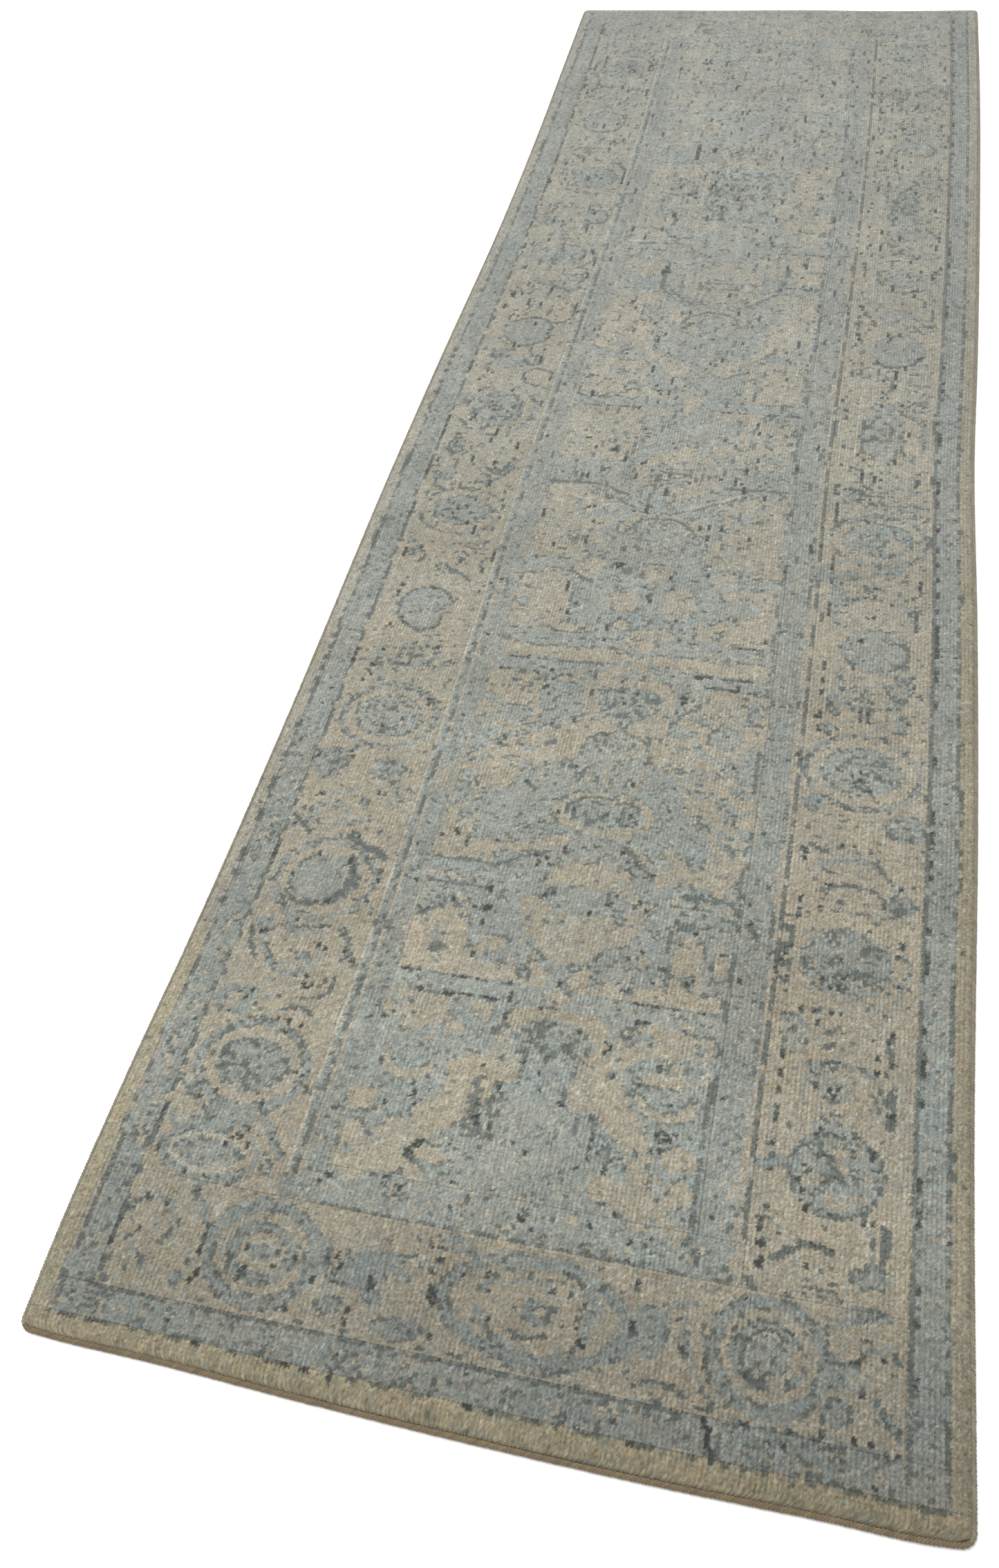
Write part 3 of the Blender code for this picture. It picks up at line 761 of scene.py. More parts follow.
def cross_bar(y_low, y_high, seed):
    """A blue bar across the field, edged with broken dark lines, with a pale knot in its middle."""
    box(236, 568, y_low, y_high, BLUE)
    mottle(236, 568, y_low, y_high, MIST, 0.3, over=BLUE, seed=seed)
    level(y_low, 240, 345, 3.3, COAL, 0.6, seed + 1)
    level(y_high, 240, 330, 3.3, COAL, 0.5, seed + 2)
    level(y_low, 455, 566, 3.3, COAL, 0.55, seed + 3)
    level(y_high, 460, 566, 3.3, SLATE, 0.6, seed + 4)


def panel(x_low, x_high, y_low, y_high, seed):
    """A tan part of the field, flecked with the blue round it."""
    box(x_low, x_high, y_low, y_high, TAN)
    mottle(x_low, x_high, y_low, y_high, SAND, 0.35, (11, 10), TAN, seed)
    mottle(x_low, x_high, y_low, y_high, BLUE, 0.13, (9, 8), TAN, seed + 1)
    mottle(x_low, x_high, y_low, y_high, SLATE, 0.04, (5, 4), TAN, seed + 2)


def pair_marks(yarn, x, ys, gap=8):
    """Dabs in pairs, one pair above another."""
    for y in ys:
        marks(yarn, (x, y), (x + gap, y + 1))


# ---------------------------------------------------------------------------- from the first cup to the second bar
def draw_field_second():
    """The field from the first bowl to the wide pale bars."""
    stroke([(236, 664), (270, 690), (345, 738)], 52, TAN)
    stroke([(470, 740), (500, 716), (540, 680), (556, 640)], 52, TAN)
    disc(265, 672, 32, 26, TAN)
    disc(535, 672, 38, 34, TAN)
    mottle(235, 352, 625, 745, BLUE, 0.3, (12, 9), TAN, 60)
    mottle(463, 576, 625, 745, BLUE, 0.34, (11, 9), TAN, 61)
    disc(322, 672, 26, 10, BLUE)
    roundel(410, 637, 56, 31, TAN, 12, BLUE)
    arc(410, 640, 44, 20, 20, 170, 4.4, SLATE)
    mottle(370, 450, 620, 654, SLATE, 0.25, (6, 5), BLUE, 59)
    mottle(350, 465, 664, 775, MIST, 0.4, (5, 14), BLUE, 62)
    mottle(350, 465, 664, 775, SLATE, 0.14, (4, 10), BLUE, 63)
    mottle(380, 450, 668, 745, TAN, 0.35, (7, 12), BLUE, 58)
    marks(COAL, (412, 638), (375, 640), (360, 632), (362, 655), (432, 690), (436, 684), (470, 690), (312, 672))
    marks(COAL, (265, 728), (270, 722), (275, 730), (352, 768), (530, 720), (545, 724))
    # the four corners round the palmette
    box(236, 301, 748, 836, TAN)
    box(476, 574, 752, 836, TAN)
    disc(244, 793, 9, 9, BLUE)
    disc(300, 782, 9, 18, TAN)
    for x, y in ((276, 770), (529, 766)):
        disc(x, y, 21, 17, BLUE)
        mottle(x - 16, x + 16, y - 13, y + 13, MIST, 0.4, over=BLUE, seed=x)
        arc(x, y, 27, 24, 180, 350, 9, TAN)
        arc(x, y - 2, 35, 31, 190, 350, 9, BLUE)
    disc(494, 818, 12, 10, BLUE)
    disc(508, 793, 16, 12, BLUE)
    disc(560, 806, 7, 6, BLUE)
    mottle(236, 574, 748, 836, BLUE, 0.14, (8, 7), TAN, 64)
    upright(474, 812, 826, 6, COAL)


def draw_palmette():
    """The palmette below the second blue bar, and the tan blocks at its sides."""
    stroke([(413, 868), (413, 846)], 20, TAN)
    disc(412, 838, 42, 16, TAN)
    for x, side in ((364, 1), (456, -1)):
        stroke([(x, 824), (x + 3 * side, 796), (x + 6 * side, 768), (x - 8 * side, 744)], 22, TAN)
        disc(x + 24 * side, 766, 17, 12, TAN)
    disc(411, 806, 39, 25, BLUE)
    mottle(372, 450, 780, 832, SLATE, 0.3, (6, 5), BLUE, 65)
    marks(COAL, (400, 822), (412, 812), (404, 804), (418, 820), (398, 838), (362, 818), (362, 812))
    disc(437, 811, 8, 4, SLATE)
    disc(266, 820, 32, 21, TAN)
    disc(332, 832, 12, 7, TAN)
    mottle(240, 300, 800, 842, SLATE, 0.14, (5, 4), TAN, 66)
    disc(325, 814, 20, 14, BLUE)
    marks(COAL, (308, 820), (314, 806), (312, 830), (304, 816))
    disc(534, 812, 40, 28, TAN)
    mottle(495, 572, 780, 842, BLUE, 0.28, (9, 7), TAN, 67)
    upright(473, 811, 827, 5, COAL)
    box(236, 568, 841, 864, BLUE)
    mottle(236, 568, 841, 864, MIST, 0.2, over=BLUE, seed=68)
    stroke([(372, 838), (392, 858), (410, 864), (430, 850), (452, 822)], 11, TAN)
    for line, x_low, x_high, seed in ((841, 240, 345, 1), (861, 250, 345, 2), (841, 474, 560, 3), (857, 470, 560, 4)):
        level(line, x_low, x_high, 3.3, COAL, 0.55, 70 + seed)
    box(238, 380, 865, 889, TAN)
    leaf(360, 877, 402, 877, 22, TAN)
    box(448, 570, 864, 889, TAN)
    leaf(426, 877, 470, 877, 24, TAN)
    level(863, 300, 388, 3.3, SLATE, 0.9, 75)
    level(888, 240, 380, 3.3, SLATE, 0.5, 76)
    level(888, 440, 566, 3.3, SLATE, 0.5, 77)
    box(236, 568, 890, 913, BLUE)
    mottle(236, 568, 890, 913, MIST, 0.35, over=BLUE, seed=78)
    disc(412, 900, 15, 8, TAN)
    level(913, 238, 345, 3.3, COAL, 0.6, 79)
    level(911, 466, 562, 3.3, COAL, 0.6, 80)
    marks(COAL, (362, 903), (362, 845), (362, 851), (362, 930), (362, 924), (207, 901), (310, 844), (536, 848))


def draw_second_panels():
    """The tan panels and lobes after the second bar."""
    panel(238, 306, 915, 1012, 220)
    panel(500, 568, 915, 1010, 222)
    box(238, 305, 915, 948, TAN)
    box(300, 348, 915, 926, TAN)
    disc(278, 974, 25, 42, TAN)
    leaf(258, 1000, 286, 1022, 22, TAN)
    mottle(238, 305, 915, 1015, SAND, 0.4, (10, 12), TAN, 81)
    disc(250, 960, 8, 12, BLUE)
    stroke([(306, 944), (318, 952), (332, 962)], 5, CREAM)
    marks(COAL, (304, 930), (311, 934), (308, 946), (302, 950), (350, 940), (350, 934))
    box(476, 562, 916, 946, TAN)
    disc(500, 928, 9, 7, BLUE)
    box(508, 568, 940, 962, TAN)
    roundel(528, 980, 32, 32, TAN, 11, MIST)
    stroke([(506, 966), (514, 954), (524, 950)], 8, BLUE)
    disc(508, 976, 9, 18, BLUE)
    marks(COAL, (518, 958), (512, 960), (522, 952), (556, 962), (560, 926), (500, 954))
    disc(376, 974, 22, 20, TAN)
    disc(446, 978, 24, 30, TAN)
    disc(408, 980, 14, 24, BLUE)
    roundel(408, 986, 4.5, 10, COAL)
    disc(408, 938, 42, 16, BLUE)
    disc(380, 932, 10, 9, TAN)
    disc(432, 920, 17, 10, TAN)
    disc(408, 918, 15, 7, TAN)
    mottle(372, 446, 924, 956, SLATE, 0.2, (6, 4), BLUE, 82)
    disc(328, 986, 22, 26, BLUE)
    disc(484, 980, 15, 26, BLUE)
    marks(COAL, (362, 918), (448, 948), (456, 932), (460, 928), (316, 1018), (320, 1010), (436, 1006), (480, 1018))
    disc(412, 1032, 21, 17, TAN)
    leaf(300, 1010, 352, 1056, 26, TAN)
    stroke([(298, 1022), (318, 1012), (330, 1006)], 6, SLATE)
    leaf(484, 1012, 520, 1060, 22, TAN)
    stroke([(508, 1016), (526, 1034), (548, 1040)], 5, CREAM)
    disc(534, 1026, 20, 10, BLUE)
    disc(560, 1044, 12, 14, TAN)
    disc(362, 1044, 8, 9, COAL)
    disc(372, 1030, 6, 7, SLATE)
    disc(478, 1040, 10, 12, BLUE)


def draw_second_star():
    """The grey star, the arch and the leaves before the second cup."""
    panel(238, 350, 1046, 1196, 224)
    panel(470, 568, 1046, 1196, 226)
    disc(345, 1100, 20, 60, BLUE)
    disc(476, 1130, 14, 40, BLUE)
    mottle(330, 445, 1046, 1104, MIST, 0.75, (12, 9), None, 83)
    mottle(330, 445, 1046, 1104, SLATE, 0.12, (5, 4), None, 84)
    for x, y, rx, ry in ((256, 1094, 14, 18), (290, 1118, 18, 12), (330, 1124, 13, 7), (482, 1088, 12, 14),
                         (530, 1116, 20, 22), (252, 1066, 14, 12), (330, 1080, 12, 8), (560, 1080, 10, 14)):
        disc(x, y, rx, ry, TAN)
    disc(410, 1084, 16, 14, BLUE)
    disc(326, 1064, 14, 12, BLUE)
    arch(405, 1104, 54, 40)
    mottle(350, 460, 1100, 1150, SLATE, 0.12, (5, 4), TAN, 85)
    upright(309, 1074, 1092, 5, COAL)
    upright(470, 1100, 1112, 5, COAL)
    marks(COAL, (312, 1121), (302, 1150), (308, 1154), (325, 1143), (515, 1150), (468, 1126), (470, 1132), (364, 1148))
    stroke([(282, 1166), (290, 1146), (302, 1130)], 9, BLUE)
    disc(318, 1140, 14, 9, BLUE)
    disc(512, 1148, 16, 13, BLUE)
    disc(262, 1176, 24, 20, TAN)
    disc(536, 1176, 34, 14, TAN)
    for shift in (0, 11, 22):
        stroke([(292 + shift, 1192), (320 + shift, 1174), (352 + shift, 1156)], 4.4, (MIST, SLATE, MIST)[shift // 11])
        stroke([(432 + shift, 1158), (462 + shift, 1174), (498 + shift, 1194)], 4.4, (CREAM, SLATE, MIST)[shift // 11])
    box(236, 300, 1198, 1204, SLATE)
    stroke([(296, 1202), (324, 1194), (350, 1182)], 5, SLATE)
    box(480, 566, 1206, 1212, SLATE)
    box(500, 566, 1200, 1204, MIST)
    marks(COAL, (528, 1220), (534, 1226), (522, 1212), (280, 1212), (288, 1212), (280, 1220), (288, 1220), (246, 1210))
    cup(415, 1232, 62, 48)
    marks(COAL, (375, 1234), (443, 1214), (430, 1216), (362, 1252), (362, 1258))
    upright(309, 1222, 1286, 5, COAL, 0.92, 86)
    upright(305, 1222, 1240, 4.4, SLATE, 0.8, 87)
    disc(470, 1290, 17, 12, TAN)
    upright(492, 1212, 1300, 12, MIST, 0.9, 88)


def draw_third_bar():
    """The palmette, the third bar and the flowers past it."""
    panel(238, 342, 1254, 1376, 228)
    panel(488, 560, 1254, 1376, 230)
    panel(240, 334, 1404, 1450, 232)
    panel(480, 562, 1404, 1450, 234)
    disc(270, 1310, 34, 62, TAN)
    mottle(238, 330, 1250, 1372, SAND, 0.4, (9, 12), TAN, 89)
    mottle(238, 330, 1250, 1372, SLATE, 0.08, (5, 4), TAN, 90)
    disc(310, 1352, 26, 14, TAN)
    upright(306, 1290, 1342, 9, MIST, 0.8, 91)
    disc(536, 1318, 30, 56, TAN)
    disc(512, 1256, 10, 14, TAN)
    mottle(505, 570, 1250, 1375, MIST, 0.3, (8, 9), TAN, 92)
    mottle(342, 482, 1318, 1362, MIST, 0.35, (9, 8), BLUE, 93)
    disc(420, 1336, 16, 13, MIST)
    marks(COAL, (270, 1300), (276, 1302), (318, 1350), (357, 1312), (357, 1318), (528, 1334), (532, 1330), (535, 1300))
    marks(COAL, (360, 1250), (560, 1316), (208, 1316), (350, 1330))
    disc(344, 1370, 50, 8, TAN)
    disc(478, 1370, 36, 10, TAN)
    cross_bar(1379, 1401, 95)
    leaf(404, 1366, 412, 1410, 20, TAN)
    stroke([(392, 1412), (408, 1398), (424, 1408)], 10, TAN)
    disc(288, 1420, 40, 16, TAN)
    disc(352, 1414, 26, 8, TAN)
    disc(268, 1446, 24, 18, TAN)
    disc(326, 1434, 18, 15, BLUE)
    disc(378, 1438, 13, 12, BLUE)
    disc(432, 1438, 18, 12, BLUE)
    disc(522, 1428, 32, 26, TAN)
    disc(500, 1440, 8, 11, BLUE)
    mottle(240, 330, 1405, 1465, SLATE, 0.12, (5, 4), TAN, 96)
    upright(308, 1412, 1422, 5, COAL)
    marks(COAL, (308, 1436), (358, 1392), (358, 1398), (360, 1414), (446, 1412), (490, 1390), (306, 1428), (238, 1404))
    marks(COAL, (354, 1420), (350, 1432), (452, 1444), (498, 1412), (296, 1406), (316, 1452))


def draw_third_star():
    """The large blue star, the second arch and the second cup with its black upright."""
    panel(240, 330, 1446, 1500, 236)
    panel(484, 562, 1446, 1500, 238)
    panel(240, 318, 1524, 1682, 240)
    panel(498, 568, 1530, 1690, 242)
    panel(244, 312, 1736, 1806, 244)
    panel(508, 566, 1728, 1806, 246)
    panel(330, 356, 1600, 1640, 248)
    disc(270, 1472, 28, 26, TAN)
    mottle(242, 300, 1444, 1500, BLUE, 0.2, (7, 6), TAN, 97)
    disc(372, 1482, 20, 20, TAN)
    disc(446, 1482, 20, 20, TAN)
    disc(410, 1492, 26, 14, BLUE)
    disc(522, 1470, 26, 16, TAN)
    disc(528, 1496, 20, 7, TAN)
    stroke([(350, 1498), (326, 1512), (306, 1548)], 16, TAN)
    stroke([(460, 1500), (484, 1512), (498, 1530)], 14, TAN)
    disc(408, 1536, 66, 42, BLUE)
    mottle(342, 476, 1494, 1580, MIST, 0.3, (9, 8), BLUE, 98)
    roundel(276, 1540, 24, 18, TAN, 6, MIST)
    disc(270, 1572, 26, 24, TAN)
    disc(556, 1540, 14, 22, MIST)
    marks(COAL, (292, 1512), (290, 1520), (534, 1514), (538, 1508), (550, 1526), (516, 1520), (236, 1556), (236, 1548))
    arch(408, 1596, 52, 42)
    disc(380, 1582, 18, 9, TAN)
    disc(440, 1584, 20, 9, TAN)
    marks(COAL, (380, 1600), (376, 1594), (394, 1614), (445, 1600), (366, 1588), (392, 1606))
    disc(268, 1626, 26, 52, TAN)
    disc(304, 1660, 24, 14, TAN)
    disc(306, 1626, 18, 26, BLUE)
    mottle(285, 350, 1600, 1655, TAN, 0.2, (8, 8), BLUE, 99)
    disc(546, 1626, 26, 52, TAN)
    disc(514, 1626, 15, 22, BLUE)
    disc(560, 1616, 8, 7, BLUE)
    disc(516, 1592, 16, 12, TAN)
    disc(535, 1666, 30, 12, TAN)
    mottle(240, 300, 1560, 1680, SLATE, 0.08, (5, 4), TAN, 100)
    for shift in (0, 12):
        stroke([(320 + shift, 1692), (340 + shift, 1668), (360 + shift, 1652)], 4.4, SLATE)
        stroke([(446 + shift, 1650), (468 + shift, 1668), (490 + shift, 1690)], 4.4, (CREAM, SLATE)[shift // 12])
    level(1692, 240, 300, 3.3, SLATE, 0.7, 101)
    level(1684, 240, 310, 3.3, CREAM, 0.7, 102)
    cup(412, 1712, 62, 50)
    upright(316, 1692, 1772, 5, SLATE, 0.9, 103)
    upright(316, 1734, 1762, 6, COAL)
    upright(320, 1740, 1752, 5, COAL)
    disc(280, 1762, 20, 36, TAN)
    disc(342, 1774, 12, 9, TAN)
    disc(542, 1736, 20, 16, TAN)
    disc(536, 1776, 20, 22, TAN)
    mottle(240, 320, 1770, 1808, MIST, 0.6, (10, 8), None, 104)
    mottle(455, 505, 1740, 1808, TAN, 0.45, (8, 10), BLUE, 105)
    disc(537, 1782, 6, 6, COAL)
    upright(512, 1730, 1786, 5, SLATE, 0.85, 106)
    level(1707, 512, 560, 3.3, COAL, 0.7, 107)
    marks(COAL, (515, 1706), (540, 1709), (372, 1766), (370, 1796), (366, 1794), (432, 1794), (476, 1796), (540, 1716))


def draw_fourth_bar():
    """The fourth bar and the dark mottled star past it."""
    panel(240, 350, 1884, 2100, 250)
    panel(494, 568, 1880, 2104, 252)
    cross_bar(1808, 1831, 110)
    disc(412, 1824, 12, 8, TAN)
    box(236, 350, 1832, 1852, MIST)
    level(1836, 240, 360, 3.3, CREAM, 0.9, 111)
    level(1830, 250, 330, 3.3, SLATE, 0.7, 112)
    disc(326, 1812, 24, 6, TAN)
    disc(268, 1862, 30, 14, TAN)
    disc(536, 1852, 28, 22, TAN)
    disc(490, 1852, 12, 11, TAN)
    disc(450, 1866, 12, 9, TAN)
    stroke([(300, 1852), (320, 1846), (344, 1852)], 5, SLATE)
    marks(COAL, (367, 1838), (367, 1822), (452, 1836), (478, 1843), (408, 1838), (367, 1846), (432, 1858), (480, 1834))
    disc(378, 1888, 17, 17, TAN)
    disc(446, 1888, 17, 20, TAN)
    disc(268, 1888, 22, 12, TAN)
    disc(538, 1892, 16, 12, TAN)
    disc(324, 1920, 12, 12, BLUE)
    disc(286, 1936, 14, 9, BLUE)
    disc(276, 1960, 30, 22, TAN)
    disc(330, 1968, 22, 44, TAN)
    mottle(240, 345, 1895, 2060, BLUE, 0.16, (9, 8), TAN, 113)
    mottle(240, 345, 1895, 2090, SLATE, 0.06, (5, 4), TAN, 114)
    disc(266, 2066, 20, 36, TAN)
    disc(312, 2084, 30, 12, TAN)
    disc(536, 1918, 16, 9, TAN)
    disc(524, 1994, 16, 34, TAN)
    disc(556, 1974, 18, 34, MIST)
    disc(548, 2030, 20, 22, TAN)
    disc(548, 2082, 34, 20, TAN)
    disc(486, 1950, 16, 30, SAND)
    marks(COAL, (370, 1960), (370, 1942), (368, 1936), (374, 1948), (538, 1937), (542, 1937), (540, 1942), (322, 1930))
    marks(COAL, (280, 1938), (275, 1968), (322, 1995), (318, 1998), (326, 1990), (330, 1984), (476, 1988), (478, 1964))
    upright(384, 1910, 1942, 5.5, COAL, 0.9, 115)
    disc(320, 1994, 7, 7, COAL)
    mottle(350, 440, 1905, 2080, SLATE, 0.16, (5, 9), BLUE, 116)
    mottle(350, 500, 1985, 2075, SLATE, 0.2, (9, 6), BLUE, 117)
    marks(COAL, (366, 2050), (372, 2058), (384, 2060), (366, 2066), (480, 2062), (298, 2048), (298, 2042), (320, 2052))
    marks(COAL, (324, 2026), (500, 2074), (500, 2052), (520, 2014), (452, 1990), (366, 1974), (372, 1990))


def draw_far_field():
    """The third cup, the last bars and the fading far end of the field."""
    panel(250, 345, 2190, 2290, 254)
    panel(488, 562, 2200, 2282, 256)
    panel(240, 330, 2310, 2400, 258)
    panel(480, 566, 2310, 2420, 260)
    panel(250, 330, 2420, 2520, 262)
    panel(470, 566, 2440, 2500, 264)
    panel(236, 300, 2520, 2600, 266)
    mottle(350, 500, 2080, 2104, TAN, 0.45, (9, 7), BLUE, 118)
    cup(414, 2140, 56, 44)
    stroke([(318, 2126), (328, 2112), (352, 2100)], 5, CREAM)
    upright(316, 2116, 2176, 5, COAL, 0.9, 119)
    disc(284, 2196, 18, 30, TAN)
    disc(252, 2216, 14, 14, TAN)
    disc(302, 2246, 36, 24, TAN)
    disc(336, 2216, 12, 22, TAN)
    mottle(240, 345, 2190, 2300, MIST, 0.4, (9, 9), TAN, 120)
    disc(536, 2184, 16, 18, TAN)
    disc(484, 2196, 16, 13, TAN)
    disc(530, 2236, 34, 34, TAN)
    mottle(500, 570, 2200, 2275, MIST, 0.45, (9, 9), TAN, 121)
    upright(518, 2164, 2196, 5, SLATE, 0.9, 122)
    disc(536, 2184, 12, 14, TAN)
    marks(COAL, (540, 2145), (366, 2162), (366, 2218), (366, 2224), (434, 2216), (370, 2266), (348, 2252), (537, 2233))
    upright(436, 2186, 2226, 5, SLATE, 0.8, 123)
    upright(376, 2206, 2246, 5, MIST, 0.8, 124)
    disc(300, 2280, 52, 12, TAN)
    leaf(436, 2276, 500, 2264, 18, TAN)
    box(444, 568, 2284, 2304, BLUE)
    box(310, 380, 2288, 2306, BLUE)
    mottle(236, 568, 2284, 2306, MIST, 0.3, over=BLUE, seed=125)
    disc(418, 2298, 14, 9, TAN)
    marks(COAL, (536, 2297), (532, 2299), (496, 2292), (496, 2286), (362, 2299), (294, 2298), (434, 2290))
    for x, y, rx, ry in ((286, 2330, 14, 16), (446, 2360, 18, 8), (366, 2340, 8, 18), (524, 2318, 30, 12),
                         (282, 2318, 10, 10), (370, 2318, 26, 8), (534, 2390, 26, 18), (330, 2408, 18, 10),
                         (410, 2418, 12, 18), (300, 2464, 24, 26), (268, 2486, 12, 30), (514, 2456, 12, 16),
                         (346, 2490, 14, 12), (368, 2494, 10, 12), (262, 2560, 14, 24), (244, 2518, 8, 10),
                         (538, 2562, 26, 20), (532, 2634, 32, 12), (310, 2650, 10, 14), (350, 2700, 52, 9),
                         (300, 2500, 16, 20), (430, 2468, 20, 12), (480, 2500, 16, 18), (548, 2588, 14, 8)):
        disc(x, y, rx, ry, TAN)
    for x, y, rx, ry in ((410, 2345, 30, 16), (356, 2430, 14, 14), (437, 2398, 9, 20), (478, 2430, 10, 26),
                         (516, 2528, 12, 16), (322, 2528, 30, 22), (400, 2548, 42, 11), (540, 2602, 22, 7),
                         (400, 2676, 26, 7), (434, 2680, 8, 30), (514, 2678, 10, 22), (488, 2520, 12, 22)):
        disc(x, y, rx, ry, BLUE)
    for seed, (y_low, y_high) in enumerate(((2310, 2420), (2420, 2520), (2520, 2600))):
        mottle(236, 568, y_low, y_high, SAND, 0.35, (12, 10), BLUE, 130 + seed)
        mottle(236, 568, y_low, y_high, MIST, 0.4, (9, 8), BLUE, 135 + seed)
    disc(288, 2508, 7, 7, COAL)
    marks(COAL, (366, 2326), (368, 2332), (468, 2360), (448, 2332), (442, 2336), (278, 2448), (276, 2434), (278, 2418))
    marks(COAL, (372, 2540), (410, 2538), (364, 2584), (374, 2592), (376, 2496), (372, 2488), (512, 2488), (506, 2498))
    marks(COAL, (466, 2660), (466, 2702), (312, 2340), (308, 2320), (552, 2334), (534, 2406), (310, 2594))
    level(2603, 310, 500, 3.3, SLATE, 0.4, 126)
    level(2562, 360, 500, 3.3, SLATE, 0.4, 127)


def draw_left_border_far():
    """The left border from its second curl to the far end."""
    disc(78, 664, 24, 24, BLUE)
    disc(150, 664, 22, 17, BLUE)
    mottle(54, 175, 640, 690, SLATE, 0.2, (6, 5), BLUE, 140)
    marks(COAL, (100, 684), (104, 674), (60, 672), (184, 640))
    rosette(128, 744, 61, 54)
    marks(COAL, (170, 768), (172, 776), (78, 796), (182, 800))
    arc(122, 856, 40, 27, 180, 360, 8, BLUE)
    disc(126, 872, 30, 10, TAN)
    mottle(62, 190, 802, 884, SLATE, 0.07, (6, 4), SAND, 141)
    marks(COAL, (80, 812), (84, 822), (88, 806), (120, 830), (128, 832), (90, 850), (130, 866), (114, 855), (156, 862))
    roundel(124, 930, 37, 41, SLATE, 4, MIST)
    mottle(88, 160, 892, 968, BLUE, 0.35, (8, 8), MIST, 142)
    marks(COAL, (108, 899), (110, 921), (126, 967), (150, 914), (92, 890), (86, 894), (80, 888), (104, 900))
    disc(158, 918, 8, 22, TAN)
    mottle(62, 190, 976, 1060, TAN, 0.4, (10, 9), SAND, 143)
    mottle(62, 190, 976, 1060, SLATE, 0.06, (6, 4), SAND, 144)
    stroke([(136, 1010), (150, 1000), (170, 986)], 4.4, SLATE)
    stroke([(146, 1030), (160, 1016)], 4.4, SLATE)
    marks(COAL, (85, 1042), (89, 1042), (190, 1040), (190, 1046), (84, 966), (148, 1020), (120, 1008), (188, 966))
    rosette(126, 1122, 60, 50, BLUE, 5, 13)
    marks(COAL, (106, 1120), (114, 1114), (104, 1108), (120, 1124), (132, 1130), (178, 1150), (182, 1112), (140, 1146))
    stroke([(146, 1186), (164, 1194), (174, 1210), (178, 1228)], 7, BLUE)
    stroke([(146, 1214), (156, 1206), (166, 1212), (172, 1230)], 6, SLATE)
    marks(COAL, (150, 1225), (153, 1217), (149, 1231), (156, 1213), (166, 1217), (100, 1200), (82, 1288), (78, 1288))
    disc(82, 1194, 17, 10, BLUE)
    stroke([(76, 1172), (92, 1162)], 5, SLATE)
    arc(85, 1262, 12, 18, 0, 360, 4.4, SLATE)
    disc(136, 1268, 18, 6, TAN)
    mottle(62, 190, 1180, 1300, TAN, 0.3, (11, 9), SAND, 145)
    rosette(124, 1352, 60, 62, BLUE, 6, 12)
    box(64, 82, 1330, 1395, TAN)
    disc(66, 1370, 16, 17, BLUE)
    upright(185, 1352, 1390, 7, BLUE, 0.9, 146)
    upright(189, 1356, 1384, 4.4, COAL, 0.8, 147)
    mottle(88, 158, 1344, 1400, SLATE, 0.2, (5, 8), BLUE, 148)
    disc(172, 1318, 12, 7, BLUE)
    marks(COAL, (155, 1311), (158, 1316), (112, 1354), (120, 1352), (128, 1356), (90, 1322), (186, 1358))
    arc(166, 1438, 22, 20, 0, 300, 4.4, SLATE)
    disc(96, 1434, 12, 13, TAN)
    disc(84, 1450, 8, 8, BLUE)
    marks(COAL, (186, 1434), (80, 1434), (78, 1424), (96, 1442), (188, 1440), (84, 1452), (80, 1466), (150, 1432))
    disc(116, 1472, 30, 15, MIST)
    mottle(86, 150, 1456, 1490, BLUE, 0.4, (8, 6), MIST, 149)
    arc(154, 1480, 13, 12, 180, 440, 5, SLATE)
    mottle(66, 190, 1492, 1530, TAN, 0.35, (10, 8), SAND, 150)
    roundel(126, 1556, 40, 40, SLATE, 4.4, MIST)
    mottle(88, 164, 1520, 1594, BLUE, 0.3, (8, 8), MIST, 151)
    disc(96, 1560, 12, 20, BLUE)
    marks(COAL, (120, 1515), (114, 1517), (100, 1520), (158, 1562), (158, 1552), (128, 1594), (160, 1508))
    arc(162, 1612, 26, 30, -100, 60, 4.4, SLATE)
    arc(140, 1660, 30, 24, 10, 120, 4.4, SLATE)
    mottle(66, 190, 1600, 1690, TAN, 0.4, (10, 9), SAND, 152)
    mottle(66, 190, 1600, 1690, SLATE, 0.06, (6, 5), SAND, 153)
    for spots in ((75, 1625), (75, 1660), (76, 1680), (92, 1660), (96, 1695), (155, 1656), (74, 1668), (190, 1615),
                  (94, 1688), (160, 1652), (188, 1624), (92, 1600), (78, 1742), (72, 1738)):
        marks(COAL, spots)
    stroke([(100, 1716), (110, 1700), (130, 1696), (156, 1706), (176, 1712)], 10, BLUE)
    rosette(130, 1784, 62, 52, BLUE, 5, 14)
    upright(196, 1748, 1812, 5, SLATE, 0.8, 154)
    disc(142, 1826, 32, 7, TAN)
    marks(COAL, (74, 1818), (74, 1812), (94, 1764), (112, 1694), (118, 1692))
    disc(112, 1850, 18, 12, BLUE)
    disc(80, 1890, 24, 16, BLUE)
    upright(158, 1856, 1892, 5, COAL, 0.85, 155)
    disc(158, 1908, 26, 24, MIST)
    arc(168, 1908, 20, 22, 200, 420, 5, SLATE)
    marks(COAL, (158, 1930), (156, 1922), (110, 1890), (112, 1886), (186, 1934), (190, 1920), (152, 1880))
    mottle(66, 200, 1940, 1995, TAN, 0.4, (11, 9), SAND, 156)
    rosette(136, 2046, 64, 60, BLUE, 4, 16)
    box(102, 160, 2014, 2034, BLUE)
    box(104, 158, 2056, 2078, BLUE)
    upright(193, 2022, 2078, 6, COAL, 0.6, 157)
    stroke([(176, 2096), (186, 2084), (190, 2070)], 7, SLATE)
    mottle(66, 200, 2104, 2200, TAN, 0.35, (10, 9), SAND, 158)
    mottle(66, 200, 2104, 2200, SLATE, 0.09, (6, 4), SAND, 159)
    level(2152, 96, 150, 3.3, SLATE, 0.7, 160)
